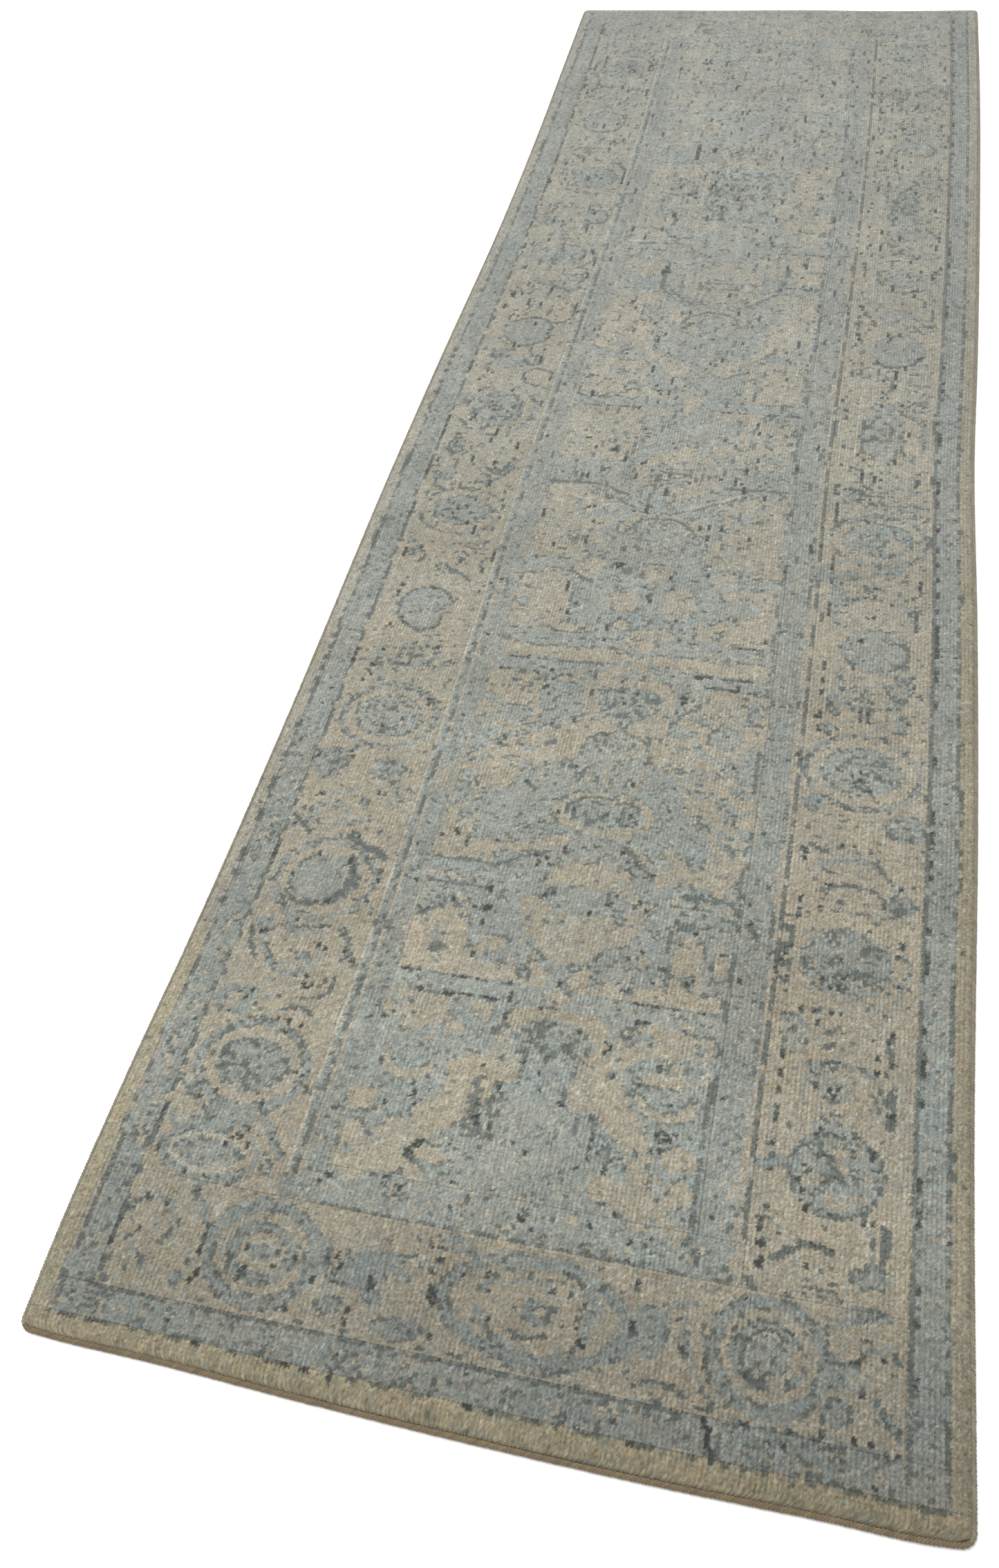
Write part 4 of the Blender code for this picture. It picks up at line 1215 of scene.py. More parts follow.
    marks(COAL, (75, 2150), (78, 2154), (92, 2166), (94, 2152), (192, 2180), (90, 2148), (160, 2202), (172, 2150))
    roundel(122, 2254, 42, 42, SLATE, 4.4, MIST)
    mottle(84, 160, 2216, 2292, BLUE, 0.25, (8, 8), MIST, 161)
    mottle(84, 160, 2216, 2292, SAND, 0.25, (8, 8), MIST, 162)
    marks(COAL, (190, 2284), (192, 2290), (186, 2242), (188, 2234), (70, 2294), (72, 2284), (72, 2362), (70, 2352))
    disc(140, 2340, 40, 40, MIST)
    mottle(92, 190, 2300, 2400, TAN, 0.4, (10, 9), MIST, 163)
    mottle(66, 190, 2300, 2410, SLATE, 0.08, (6, 5), SAND, 164)
    stroke([(96, 2400), (120, 2402), (140, 2398)], 9, BLUE)
    marks(COAL, (156, 2348), (154, 2352), (190, 2356), (70, 2370), (70, 2376), (158, 2330), (66, 2404), (190, 2392))
    rosette(126, 2482, 62, 58, BLUE, 5, 14)
    upright(181, 2474, 2500, 7, COAL, 0.85, 165)
    upright(188, 2480, 2512, 7, BLUE, 0.9, 166)
    upright(68, 2470, 2500, 5, COAL, 0.85, 167)
    disc(144, 2560, 14, 22, MIST)
    disc(86, 2588, 9, 20, BLUE)
    disc(168, 2592, 12, 12, BLUE)
    disc(112, 2590, 18, 32, TAN)
    disc(86, 2690, 20, 26, TAN)
    disc(150, 2686, 36, 26, MIST)
    mottle(66, 190, 2600, 2720, MIST, 0.4, (12, 10), SAND, 168)
    box(60, 96, 2722, 2746, BLUE)


def draw_right_border_far():
    """The right border from its second round to the far end."""
    disc(734, 668, 25, 20, BLUE)
    disc(634, 690, 12, 12, BLUE)
    mottle(710, 760, 648, 690, SLATE, 0.15, (6, 5), BLUE, 170)
    disc(662, 676, 18, 12, TAN)
    rosette(684, 740, 66, 56, BLUE, 7, 14)
    for y in (716, 726, 738, 750, 762):
        level(y, 660, 706, 3.3, SLATE, 0.6, y)
    marks(COAL, (682, 728), (682, 740), (676, 734), (690, 716), (694, 712), (614, 748), (612, 756), (632, 764), (640, 694))
    arc(686, 852, 38, 18, 180, 360, 8, BLUE)
    pair_marks(COAL, 680, (816, 828))
    pair_marks(SLATE, 680, (822, 834, 846))
    disc(724, 814, 9, 16, BLUE)
    disc(642, 802, 9, 9, BLUE)
    marks(COAL, (630, 816), (634, 822), (724, 824), (738, 874), (738, 868), (736, 880), (652, 800), (682, 862))
    stroke([(646, 852), (656, 868), (650, 884)], 6, BLUE)
    stroke([(720, 852), (730, 868), (728, 886)], 6, BLUE)
    roundel(690, 928, 41, 38, BLUE, 7, MIST)
    mottle(656, 726, 896, 962, BLUE, 0.3, (7, 7), MIST, 171)
    arc(714, 926, 16, 18, -110, 110, 5, SLATE)
    marks(COAL, (665, 903), (665, 897), (672, 946), (686, 966), (704, 918), (688, 940), (616, 946), (616, 900), (616, 906))
    disc(690, 984, 34, 20, TAN)
    arc(690, 978, 48, 44, -10, 190, 7, BLUE)
    upright(738, 966, 1002, 5, COAL, 0.95, 172)
    for y in (978, 990, 1002):
        level(y, 632, 654, 3.3, COAL, 0.6, y)
    pair_marks(COAL, 679, (984, 1022, 1038))
    marks(COAL, (690, 1000), (664, 1018), (660, 1014), (734, 1024), (740, 1034), (740, 1048), (696, 1018), (706, 1012))
    disc(640, 1022, 10, 26, BLUE)
    disc(690, 1076, 36, 12, TAN)
    disc(622, 1058, 11, 16, BLUE)
    disc(656, 1058, 12, 9, BLUE)
    stroke([(680, 1060), (704, 1070), (722, 1086), (736, 1104)], 9, BLUE)
    rosette(688, 1128, 64, 52, BLUE, 6, 13)
    box(652, 702, 1104, 1154, BLUE)
    disc(708, 1118, 9, 14, TAN)
    upright(632, 1066, 1102, 5, COAL, 0.6, 173)
    upright(616, 1106, 1150, 5, COAL, 0.7, 174)
    disc(726, 1190, 17, 15, BLUE)
    arc(694, 1150, 46, 22, 20, 160, 6, BLUE)
    upright(630, 1212, 1236, 5, COAL, 0.9, 175)
    for y in (1200, 1208, 1218):
        level(y, 656, 748, 3.3, SLATE, 0.45, y)
    roundel(688, 1246, 30, 24, MIST, 6, TAN)
    upright(735, 1238, 1270, 4.4, COAL, 0.75, 176)
    marks(COAL, (664, 1219), (658, 1208), (676, 1208), (626, 1226), (660, 1292), (654, 1300), (664, 1310), (694, 1286))
    disc(684, 1344, 32, 56, BLUE)
    box(654, 714, 1308, 1384, BLUE)
    mottle(650, 718, 1288, 1330, MIST, 0.7, (8, 7), BLUE, 177)
    mottle(650, 718, 1330, 1400, SLATE, 0.25, (6, 8), BLUE, 178)
    arc(690, 1344, 54, 60, -70, 70, 6, BLUE)
    disc(726, 1370, 8, 12, TAN)
    upright(618, 1340, 1376, 7, SLATE, 0.9, 179)
    upright(740, 1350, 1390, 7, BLUE, 0.9, 180)
    disc(686, 1412, 22, 12, BLUE)
    pair_marks(COAL, 678, (1436, 1450))
    marks(COAL, (624, 1420), (624, 1428), (628, 1434), (738, 1450), (706, 1420), (632, 1448), (630, 1402), (718, 1430))
    mottle(630, 745, 1425, 1505, BLUE, 0.12, (8, 7), TAN, 181)
    pair_marks(COAL, 678, (1478,))
    disc(640, 1538, 10, 14, TAN)
    roundel(696, 1552, 40, 42, BLUE, 5, MIST)
    mottle(660, 734, 1514, 1592, BLUE, 0.35, (8, 8), MIST, 182)
    stroke([(662, 1520), (690, 1512), (714, 1520), (728, 1536)], 6, SLATE)
    level(1591, 676, 702, 3.3, COAL, 0.9, 183)
    upright(636, 1558, 1610, 5, COAL, 0.5, 184)
    upright(740, 1600, 1668, 5, SLATE, 0.8, 185)
    marks(COAL, (664, 1521), (668, 1518), (724, 1534), (728, 1540), (636, 1660), (636, 1666), (680, 1574), (626, 1556))
    disc(692, 1640, 30, 22, MIST)
    disc(664, 1614, 14, 12, TAN)
    disc(708, 1622, 18, 16, TAN)
    stroke([(640, 1690), (654, 1680), (668, 1668)], 9, BLUE)
    rosette(688, 1756, 58, 48, BLUE, 4.4, 12)
    mottle(650, 730, 1725, 1790, TAN, 0.25, (8, 8), BLUE, 186)
    marks(COAL, (738, 1768), (740, 1774), (630, 1790), (668, 1800), (638, 1844), (638, 1850), (712, 1720), (634, 1706))
    disc(730, 1820, 17, 12, BLUE)
    mottle(650, 700, 1815, 1850, SLATE, 0.25, (6, 5), TAN, 187)
    upright(744, 1862, 1896, 4.4, COAL, 0.8, 188)
    disc(688, 1886, 30, 12, BLUE)
    roundel(686, 1935, 26, 30, BLUE, 5, MIST)
    disc(690, 1976, 28, 34, BLUE)
    mottle(662, 718, 1944, 2008, SLATE, 0.25, (5, 6), BLUE, 189)
    arc(690, 1976, 44, 46, -60, 60, 6, MIST)
    marks(COAL, (668, 1946), (668, 1970), (668, 1986), (670, 1912), (672, 1962), (634, 1966), (744, 2002), (740, 2008))
    disc(720, 2030, 28, 12, BLUE)
    mottle(628, 745, 2010, 2110, MIST, 0.4, (10, 8), TAN, 190)
    mottle(628, 745, 2010, 2110, SLATE, 0.1, (6, 4), TAN, 191)
    marks(COAL, (736, 2068), (746, 2066), (752, 2070), (740, 2072), (686, 2098), (636, 2068), (640, 2096), (636, 2126))
    disc(692, 2172, 36, 26, BLUE)
    mottle(656, 730, 2146, 2198, MIST, 0.4, (8, 7), BLUE, 192)
    arc(690, 2170, 42, 30, -60, 60, 5, SLATE)
    marks(COAL, (666, 2162), (668, 2168), (664, 2140), (728, 2160), (730, 2166), (638, 2176), (640, 2184), (612, 2150))
    mottle(630, 745, 2200, 2290, MIST, 0.5, (10, 9), TAN, 193)
    pair_marks(SLATE, 676, (2226, 2240, 2254, 2266))
    disc(643, 2280, 8, 16, BLUE)
    upright(740, 2216, 2262, 7, SLATE, 0.7, 194)
    upright(744, 2210, 2240, 5, COAL, 0.7, 195)
    marks(COAL, (636, 2232), (638, 2226), (636, 2310), (744, 2262), (686, 2228), (680, 2250), (650, 2210), (742, 2256))
    disc(684, 2344, 26, 16, BLUE)
    mottle(626, 750, 2310, 2400, SLATE, 0.08, (6, 4), TAN, 196)
    mottle(626, 750, 2310, 2400, MIST, 0.35, (9, 8), TAN, 197)
    disc(734, 2414, 24, 12, BLUE)
    roundel(692, 2440, 30, 26, MIST, 6, SAND)
    upright(634, 2432, 2456, 5, COAL, 0.7, 198)
    marks(COAL, (664, 2398), (666, 2428), (664, 2394), (744, 2364), (740, 2358), (616, 2350), (618, 2344), (750, 2398))
    mottle(626, 750, 2460, 2520, SAND, 0.5, (10, 9), TAN, 199)
    disc(682, 2560, 36, 46, MIST)
    box(650, 714, 2566, 2600, BLUE)
    disc(704, 2540, 12, 26, BLUE)
    pair_marks(COAL, 660, (2526, 2540))
    upright(612, 2560, 2600, 5, COAL, 0.6, 200)
    upright(624, 2572, 2604, 5, COAL, 0.5, 201)
    disc(728, 2580, 8, 20, TAN)
    mottle(560, 750, 2612, 2722, MIST, 0.55, (16, 14), TAN, 202)
    box(60, 756, 2612, 2720, SAND)
    mottle(60, 756, 2606, 2722, TAN, 0.22, (24, 18), SAND, 203)
    mottle(60, 756, 2606, 2722, MIST, 0.35, (22, 16), SAND, 204)
    mottle(60, 756, 2722, 2750, MIST, 0.4, (18, 9), BLUE, 205)
    for x, rx, yarn in ((150, 40, MIST), (270, 18, SLATE), (350, 60, BLUE), (512, 22, BLUE), (610, 42, MIST)):
        mottle(x - rx, x + rx, 2640, 2708, yarn, 0.4, (12, 12), None, 206 + x)


def scatter_stray_knots():
    """Odd knots of a neighbouring shade, as where a weaver runs out of one yarn, and stray dark ones."""
    lot = dice.uniform(0, 1, chart.shape)
    before = chart.copy()
    swaps = ((BLUE, MIST, 0.13), (BLUE, SLATE, 0.07), (BLUE, SAND, 0.03), (SAND, CREAM, 0.06), (SAND, MIST, 0.06),
             (SAND, TAN, 0.12), (TAN, SAND, 0.16), (TAN, CREAM, 0.05), (TAN, MIST, 0.03), (MIST, BLUE, 0.15),
             (MIST, SAND, 0.08), (SAND, BLUE, 0.02), (SAND, SLATE, 0.008), (BLUE, COAL, 0.006), (TAN, SLATE, 0.008))
    start = np.zeros(7)
    for old, new, share in swaps:
        chosen = (before == old) & (lot >= start[old]) & (lot < start[old] + share)
        start[old] += share
        chart[chosen] = new


def pale_patches_on_guards():
    """Lighter patches of wool along the blue guards, as wear and uneven dye leave them."""
    for x_low, x_high, share in ((26, 54, 0.25), (211, 234, 0.3), (574, 603, 0.45), (763, 786, 0.3)):
        mottle(x_low, x_high, 200, LONG - 60, MIST, share, (6, 9), BLUE, x_low)
        mottle(x_low, x_high, 200, LONG - 60, SAND, share / 6, (5, 8), BLUE, x_high)


def draw_pale_lines():
    """The thin pale lines that run along both inner guards."""
    upright(609, 190, LONG - 160, 4.2, SAND, 0.95, 10)
    upright(196, 180, LONG - 160, 4.2, CREAM, 0.9, 20)
    upright(200.2, 180, LONG - 160, 4.2, BLUE, 1.0, 20)
    upright(203, 180, LONG - 160, 4.2, SLATE, 0.5, 21)
    upright(207.5, 180, LONG - 160, 4.2, SAND, 0.95, 20)
    upright(226, 560, LONG - 170, 4.2, MIST, 0.9, 33)
    upright(234, 440, LONG - 170, 4.2, SAND, 0.9, 34)


def scatter_streaks(count):
    """Short dark and pale streaks along the warp, where the pile is worn, most of them towards the far end."""
    pick = np.random.default_rng(93)
    for _ in range(count):
        column = pick.integers(14, COLUMNS - 14)
        row = int(ROWS * (0.34 + 0.62 * pick.uniform() ** 0.7))
        chart[column, row:row + pick.integers(2, 7)] = (SLATE, SLATE, COAL, SAND, MIST)[pick.integers(5)]


# Between the large flowers of the side borders, as (nearer, farther)
LEFT_BORDER_GAPS = ((806, 884), (978, 1064), (1180, 1284), (1422, 1508), (1604, 1724), (1846, 1976), (2114, 2204),
                    (2304, 2416), (2548, 2600))
RIGHT_BORDER_GAPS = ((806, 885), (972, 1070), (1186, 1216), (1404, 1504), (1602, 1702), (1812, 1900), (1972, 2060),
                     (2112, 2200), (2296, 2400), (2474, 2580))


def draw_all():
    """The whole pattern, near end first."""
    draw_bands()
    draw_near_left_corner()
    draw_near_border()
    draw_near_right_corner()
    draw_left_border_near()
    draw_left_border_second()
    draw_right_border_near()
    draw_field_first()
    draw_first_bar()
    draw_first_cup()
    draw_field_second()
    draw_palmette()
    draw_second_panels()
    draw_second_star()
    draw_third_bar()
    draw_third_star()
    draw_fourth_bar()
    draw_far_field()
    draw_left_border_far()
    draw_right_border_far()
    for y_low, y_high in LEFT_BORDER_GAPS:
        sprigs(68, 184, y_low, y_high, 6)
    for y_low, y_high in RIGHT_BORDER_GAPS:
        sprigs(640, 748, y_low, y_high, 5)
    break_up_shapes()
    outline_blues(0.33)
    soften_coal(0.35)
    scatter_streaks(1500)
    pale_patches_on_guards()
    draw_pale_lines()
    draw_loose_mark()
    scatter_stray_knots()


draw_all()


# ------------------------------------------------------------------------------------------------------ the dyes
def linear(*display):
    """A colour given as 0 to 255 on a display, as linear light."""
    share = np.array(display, float) / 255
    return np.where(share <= 0.04045, share / 12.92, ((share + 0.055) / 1.055) ** 2.4)


EXPOSURE = 1.6  # how much brighter than its own colour a flat surface shows under these lights
DYES = np.array([
    linear(161, 156, 141),  # SAND
    linear(162, 155, 136),  # TAN
    linear(170, 167, 151),  # CREAM
    linear(140, 145, 138),  # BLUE
    linear(149, 152, 143),  # MIST
    linear(103, 108, 102),  # SLATE
    linear(68, 72, 68),  # COAL
]) / EXPOSURE
FADED = linear(146, 149, 143) / EXPOSURE  # what every dye fades towards at the far end
FADE_FROM, FADE_FULL, FADE_SHARE = 500, 2650, 0.56
BACK_COTTON = linear(186, 178, 158) / EXPOSURE
NEAR_EDGE_TINT = np.array([1.06, 0.99, 0.82])  # the plain edge bands are dyed apart from the borders
LEFT_EDGE_TINT = np.array([1.03, 0.99, 0.86])
RIGHT_EDGE_TINT = np.array([0.90, 0.86, 0.76])
FIELD_LIFT_BLUE, FIELD_LIFT_SAND = 1.15, 1.06  # inside the main border the wool is paler than outside it


def fade_share():
    """How far each knot has faded: nothing near, most at the far end."""
    share = np.clip((knot_along - FADE_FROM) / (FADE_FULL - FADE_FROM), 0, 1)
    return FADE_SHARE * share


def knot_colours():
    """Linear colour of every knot: its dye, uneven dyeing along the rug, each tuft's own shade, and painted shade over
    the near end.
    """
    colours = DYES[chart]
    blues = (chart == BLUE) | (chart == SLATE)
    inside = (knot_across > 236) & (knot_across < 572) & (knot_along > 158)
    lift = np.where(blues, FIELD_LIFT_BLUE, FIELD_LIFT_SAND)
    colours = colours * np.where(inside, lift, 1)[..., None]
    fade = fade_share()[..., None]
    lightness = colours.mean(axis=-1, keepdims=True) / FADED.mean()
    colours = colours * (1 - fade) + FADED * lightness**0.58 * fade
    liveliness = 1 - 0.3 * fade_share()
    own = 1 + liveliness * dice.normal(0, 0.09, chart.shape)
    warmth = liveliness * dice.normal(0, 0.02, chart.shape)
    batches = 1 + 0.05 * smooth_noise(0 * knot_along, knot_along, 10, 38, 301)
    batches += 0.05 * smooth_noise(knot_across, knot_along, 90, 120, 302)
    batches += 0.03 * smooth_noise(knot_across, knot_along, 13, 11, 305)
    streaks = 1 + (0.07 + 0.05 * fade_share()) * smooth_noise(knot_across, knot_along, 4.2, 44, 303)
    batches += 0.12 * fade_share() * smooth_noise(knot_across, knot_along, 8, 13, 306)
    colours = colours * (own * batches * streaks)[..., None]
    drift = warmth + 0.02 * smooth_noise(knot_across, knot_along, 60, 45, 304)
    colours = colours * np.stack([1 + drift, np.ones_like(drift), 1 - drift], -1)
    colours = np.where((knot_along < 21)[..., None], colours * NEAR_EDGE_TINT, colours)
    right_tint = 1 - (1 - RIGHT_EDGE_TINT) * np.clip(1.4 - knot_along / 2200, 0.2, 1)[..., None]
    colours = np.where(((knot_across > 789) & (knot_along >= 21))[..., None], colours * right_tint, colours)
    beside_left = (knot_across < 21) & (knot_along >= 21) & (knot_along < 420)
    colours = np.where(beside_left[..., None], colours * LEFT_EDGE_TINT, colours)
    # Painted shade: the near end is darkened, by up to 20% at the left and 34% at the right, fading out over the first
    # 230 mm.
    near_painted_shade = 1 - (0.20 + 0.14 * knot_across / WIDE) * np.clip(1 - knot_along / 230, 0, 1)
    return np.clip(colours * near_painted_shade[..., None], 0.008, 0.9)


KNOT_COLOURS = knot_colours()


# -------------------------------------------------------------------------------------------------- mesh makers
def new_piece(name, points, faces, colours, node, material, uvs, soft_faces):
    """A mesh piece on the rug's one body, which stands for a CAD node. Only its first faces are shaded soft."""
    mesh = bpy.data.meshes.new(name)
    points = np.ascontiguousarray(points, np.float32)
    corners, sizes = faces
    mesh.vertices.add(len(points))
    mesh.vertices.foreach_set("co", points.ravel())
    mesh.loops.add(len(corners))
    mesh.loops.foreach_set("vertex_index", corners)
    mesh.polygons.add(len(sizes))
    mesh.polygons.foreach_set("loop_start", np.concatenate([[0], np.cumsum(sizes)[:-1]]).astype(np.int32))
    mesh.polygons.foreach_set("loop_total", np.asarray(sizes, np.int32))
    mesh.update(calc_edges=True)
    flat = mesh.attributes.new("sharp_face", "BOOLEAN", "FACE")
    flat.data.foreach_set("value", np.arange(len(sizes)) >= soft_faces)
    shade = mesh.attributes.new("wool_colour", "FLOAT_COLOR", "POINT")
    shade.data.foreach_set("color", np.c_[colours, np.ones(len(colours))].astype(np.float32).ravel())
    layer = mesh.uv_layers.new(name="OFBake")
    layer.data.foreach_set("uv", np.ascontiguousarray(uvs, np.float32).ravel())
    mesh.materials.append(material)
    piece = bpy.data.objects.new(name, mesh)
    bpy.context.collection.objects.link(piece)
    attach(piece, "root")
    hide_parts(node)
    return piece


def folded_strip_uvs(i, j, columns, rows):
    """Texture places for the face corners of a long strip, cut into lengths that lie side by side."""
    lengths = max(1, round(math.sqrt(rows / columns)))
    rows_each = math.ceil(rows / lengths)
    part = np.minimum(j.min(axis=1) // rows_each, lengths - 1)[:, None]
    u = (part + 0.02 + 0.96 * i / columns) / lengths
    v = 0.04 + 0.95 * (j - part * rows_each) / rows_each
    return np.stack([u, v], -1).reshape(-1, 2)


def hidden_strip_uvs(along_share, across_share):
    """Texture places for faces that are seldom seen, in a thin strip at the bottom of the texture."""
    return np.stack(np.broadcast_arrays(along_share, 0.014 * across_share), -1).reshape(-1, 2)


def row_uvs(count):
    """Texture places for this many four-cornered faces side by side, in a row just above the hidden strip."""
    u = (np.arange(count)[:, None] + np.array([[0, 1, 1, 0]])) / count
    v = 0.02 + 0.012 * np.array([[0, 0, 1, 1]]) * np.ones_like(u)
    return np.stack([u, v], -1).reshape(-1, 2)


def grid_faces(columns, rows, flip=False):
    """Corner columns and rows of every face in a grid, each with four corners."""
    i, j = np.meshgrid(np.arange(columns), np.arange(rows), indexing="ij")
    i, j = i.ravel()[:, None], j.ravel()[:, None]
    di, dj = np.array([[0, 1, 1, 0]]), np.array([[0, 0, 1, 1]])
    if flip:
        di, dj = di[:, ::-1], dj[:, ::-1]
    return i + di, j + dj


def slab(detailed, plain_height, flip=False):
    """A closed slab from a detailed grid of points and a plain face at another height.

    Gives points, (corners, sizes), and the grid place of every corner. The plain face has only its border points,
    drawn in a little so that neighbours don't share a wall.
    """
    columns, rows = detailed.shape[0] - 1, detailed.shape[1] - 1
    index = np.arange(detailed.shape[0] * detailed.shape[1]).reshape(detailed.shape[:2])
    i, j = grid_faces(columns, rows, flip)
    corners = [index[i, j].ravel()]
    places = [np.stack([i, j], -1).reshape(-1, 2)]
    sizes = [np.full(len(i), 4)]

    border = [(c, 0) for c in range(columns + 1)] + [(columns, r) for r in range(1, rows + 1)]
    border += [(c, rows) for c in range(columns - 1, -1, -1)] + [(0, r) for r in range(rows - 1, 0, -1)]
    border = np.array(border)
    rim = detailed[border[:, 0], border[:, 1]].copy()
    draw_in = 0.15 * MM
    rim[:, 0] += draw_in * ((border[:, 0] == 0) * 1.0 - (border[:, 0] == columns))
    rim[:, 1] += draw_in * ((border[:, 1] == 0) * 1.0 - (border[:, 1] == rows))
    rim[:, 2] = plain_height
    start = index.size
    count = len(border)
    here, after = np.arange(count), (np.arange(count) + 1) % count
    top_here, top_after = index[border[:, 0], border[:, 1]], index[border[after, 0], border[after, 1]]
    wall = np.stack([start + here, start + after, top_after, top_here], -1)
    wall_places = np.stack([border, border[after], border[after], border], 1)
    if flip:
        wall, wall_places = wall[:, ::-1], wall_places[:, ::-1]
    corners.append(wall.ravel())
    places.append(wall_places.reshape(-1, 2))
    sizes.append(np.full(count, 4))

    # the plain face, in bands that run from side to side
    left = lambda r: start + (count - r) % count
    right = lambda r: start + columns + r
    bands = [list(range(start, start + columns + 1)) + [right(1), left(1)]]
    bands += [[left(r), right(r), right(r + 1), left(r + 1)] for r in range(1, rows - 1)]
    bands.append([left(rows - 1), right(rows - 1)] + list(range(start + columns + rows, start + 2 * columns + rows + 1)))
    for band in bands:
        band = band if flip else band[::-1]
        corners.append(np.array(band))
        places.append(border[np.array(band) - start])
        sizes.append(np.array([len(band)]))
    points = np.concatenate([detailed.reshape(-1, 3), rim])
    return points, (np.concatenate(corners).astype(np.int32), np.concatenate(sizes)), np.concatenate(places)


def slab_uvs(places, columns, rows):
    """Texture places for a slab: its detailed face, then its walls, then its plain face."""
    detailed, walls = columns * rows, 2 * (columns + rows)
    body = places[: detailed * 4].reshape(-1, 4, 2)
    plain = places[(detailed + walls) * 4:]
    return np.concatenate([
        folded_strip_uvs(body[..., 0], body[..., 1], columns, rows),
        row_uvs(walls),
        hidden_strip_uvs(plain[:, 1] / rows, plain[:, 0] / columns),
    ])


# ------------------------------------------------------------------------------------------------------ the pile
STEP_ACROSS, STEP_ALONG = KNOT_ACROSS / STEPS_ACROSS, KNOT_ALONG / STEPS_ALONG
GRID_COLUMNS = round((WIDE - 2 * INSET) / STEP_ACROSS)
GRID_ROWS = round((LONG - 2 * INSET) / STEP_ALONG)
grid_across = INSET + np.arange(GRID_COLUMNS + 1)[:, None] * (WIDE - 2 * INSET) / GRID_COLUMNS
grid_along = INSET + np.arange(GRID_ROWS + 1)[None, :] * (LONG - 2 * INSET) / GRID_ROWS
grid_across, grid_along = np.broadcast_arrays(grid_across, grid_along)

VALLEY_ACROSS, VALLEY_ALONG = 0.75, 0.45  # millimetres between neighbouring ribs and rows of tufts
TUFT_JITTER, FIBRE_JITTER = 0.18, 0.22
UNDULATION = 0.5
SUNK_COAL, SUNK_SLATE = 0.8, 0.25  # dark wool wears away faster than pale wool
EDGE_FALL, EDGE_REACH = 3.3, 6.5  # the clipped pile rounds down this far, over this width, at the outline
FLARE = 1.7  # and leans out this far over the overcast edge


def edge_nearness():
    """1 at the outline of the pile, falling to 0 a few tufts in."""
    from_sides = np.minimum(grid_across, WIDE - grid_across) - INSET
    from_ends = np.minimum(grid_along, LONG - grid_along) - INSET
    return np.clip(1 - np.minimum(from_sides, from_ends) / EDGE_REACH, 0, 1)


def between_ribs_and_rows():
    """1 in the valleys between ribs and between rows of tufts, 0 on top of them."""
    lean = 0.12 * smooth_noise(grid_across, grid_along, 14, 22, 401)  # ribs wander a little from side to side
    between_ribs = np.abs(((grid_across / KNOT_ACROSS + lean) % 1) - 0.5) * 2
    between_rows = np.abs((grid_along / KNOT_ALONG % 1) - 0.5) * 2
    return between_ribs**2.5, between_rows**2


def pile_height():
    """Height of the clipped pile's surface at every grid point, in millimetres."""
    ci = np.clip((grid_across / KNOT_ACROSS).astype(int), 0, COLUMNS - 1)
    ri = np.clip((grid_along / KNOT_ALONG).astype(int), 0, ROWS - 1)
    tuft = dice.normal(0, TUFT_JITTER, (COLUMNS, ROWS))
    height = PILE_TOP / MM - 0.2 - VALLEY_ACROSS * VALLEYS[0] - VALLEY_ALONG * VALLEYS[1]
    height = height + np.clip(tuft[ci, ri], -0.5, 0.4) + dice.normal(0, FIBRE_JITTER, height.shape)
    height = height + UNDULATION * smooth_noise(grid_across, grid_along, 85, 120, 402) - UNDULATION
    height = height - SUNK_COAL * (chart[ci, ri] == COAL) - SUNK_SLATE * (chart[ci, ri] == SLATE)
    return height - EDGE_FALL * edge_nearness() ** 2.2


def pile_points():
    """World places of the pile's surface."""
    lean_out = FLARE * edge_nearness() ** 2
    from_sides, from_ends = np.minimum(grid_across, WIDE - grid_across), np.minimum(grid_along, LONG - grid_along)
    aside = lean_out * (from_sides <= from_ends) * np.sign(grid_across - WIDE / 2)
    ahead = lean_out * (from_ends <= from_sides) * np.sign(grid_along - LONG / 2)
    x, y = on_rug(grid_across + aside, grid_along + ahead, corner_inset=INSET - FLARE)
    sway = 0.22 * MM
    x = x + dice.uniform(-sway, sway, x.shape)
    y = y + dice.uniform(-sway, sway, y.shape)
    return np.stack([x, y, pile_height() * MM], -1)


def pile_colours():
    """Colour of the pile's surface: its knot's, a little softened at the knot's edge, and darker in the valleys."""
    column = grid_across / KNOT_ACROSS - 0.5 + dice.uniform(-0.28, 0.28, grid_across.shape)
    row = grid_along / KNOT_ALONG - 0.5 + dice.uniform(-0.4, 0.4, grid_across.shape)
    ci, ri = np.clip(np.rint(column).astype(int), 0, COLUMNS - 1), np.clip(np.rint(row).astype(int), 0, ROWS - 1)
    colours = KNOT_COLOURS[ci, ri]
    light = dice.normal(1, 0.19, grid_across.shape)
    light = light * (1.08 - VALLEY_SHADE_ACROSS * VALLEYS[0] - VALLEY_SHADE_ALONG * VALLEYS[1])
    return np.clip(colours * light[..., None], 0.008, 0.95)


VALLEY_SHADE_ACROSS, VALLEY_SHADE_ALONG = 0.30, 0.10  # little light reaches the roots of the tufts
VALLEYS = between_ribs_and_rows()
PILE_POINTS = pile_points()
PILE_COLOURS = pile_colours()


CAD_GAP = 0.3 * MM  # what the CAD leaves between strips of pile


def nearest_lines(low, high, lines):
    """The first and last grid lines nearest to two places."""
    return int(np.abs(lines - low).argmin()), int(np.abs(lines - high).argmin())


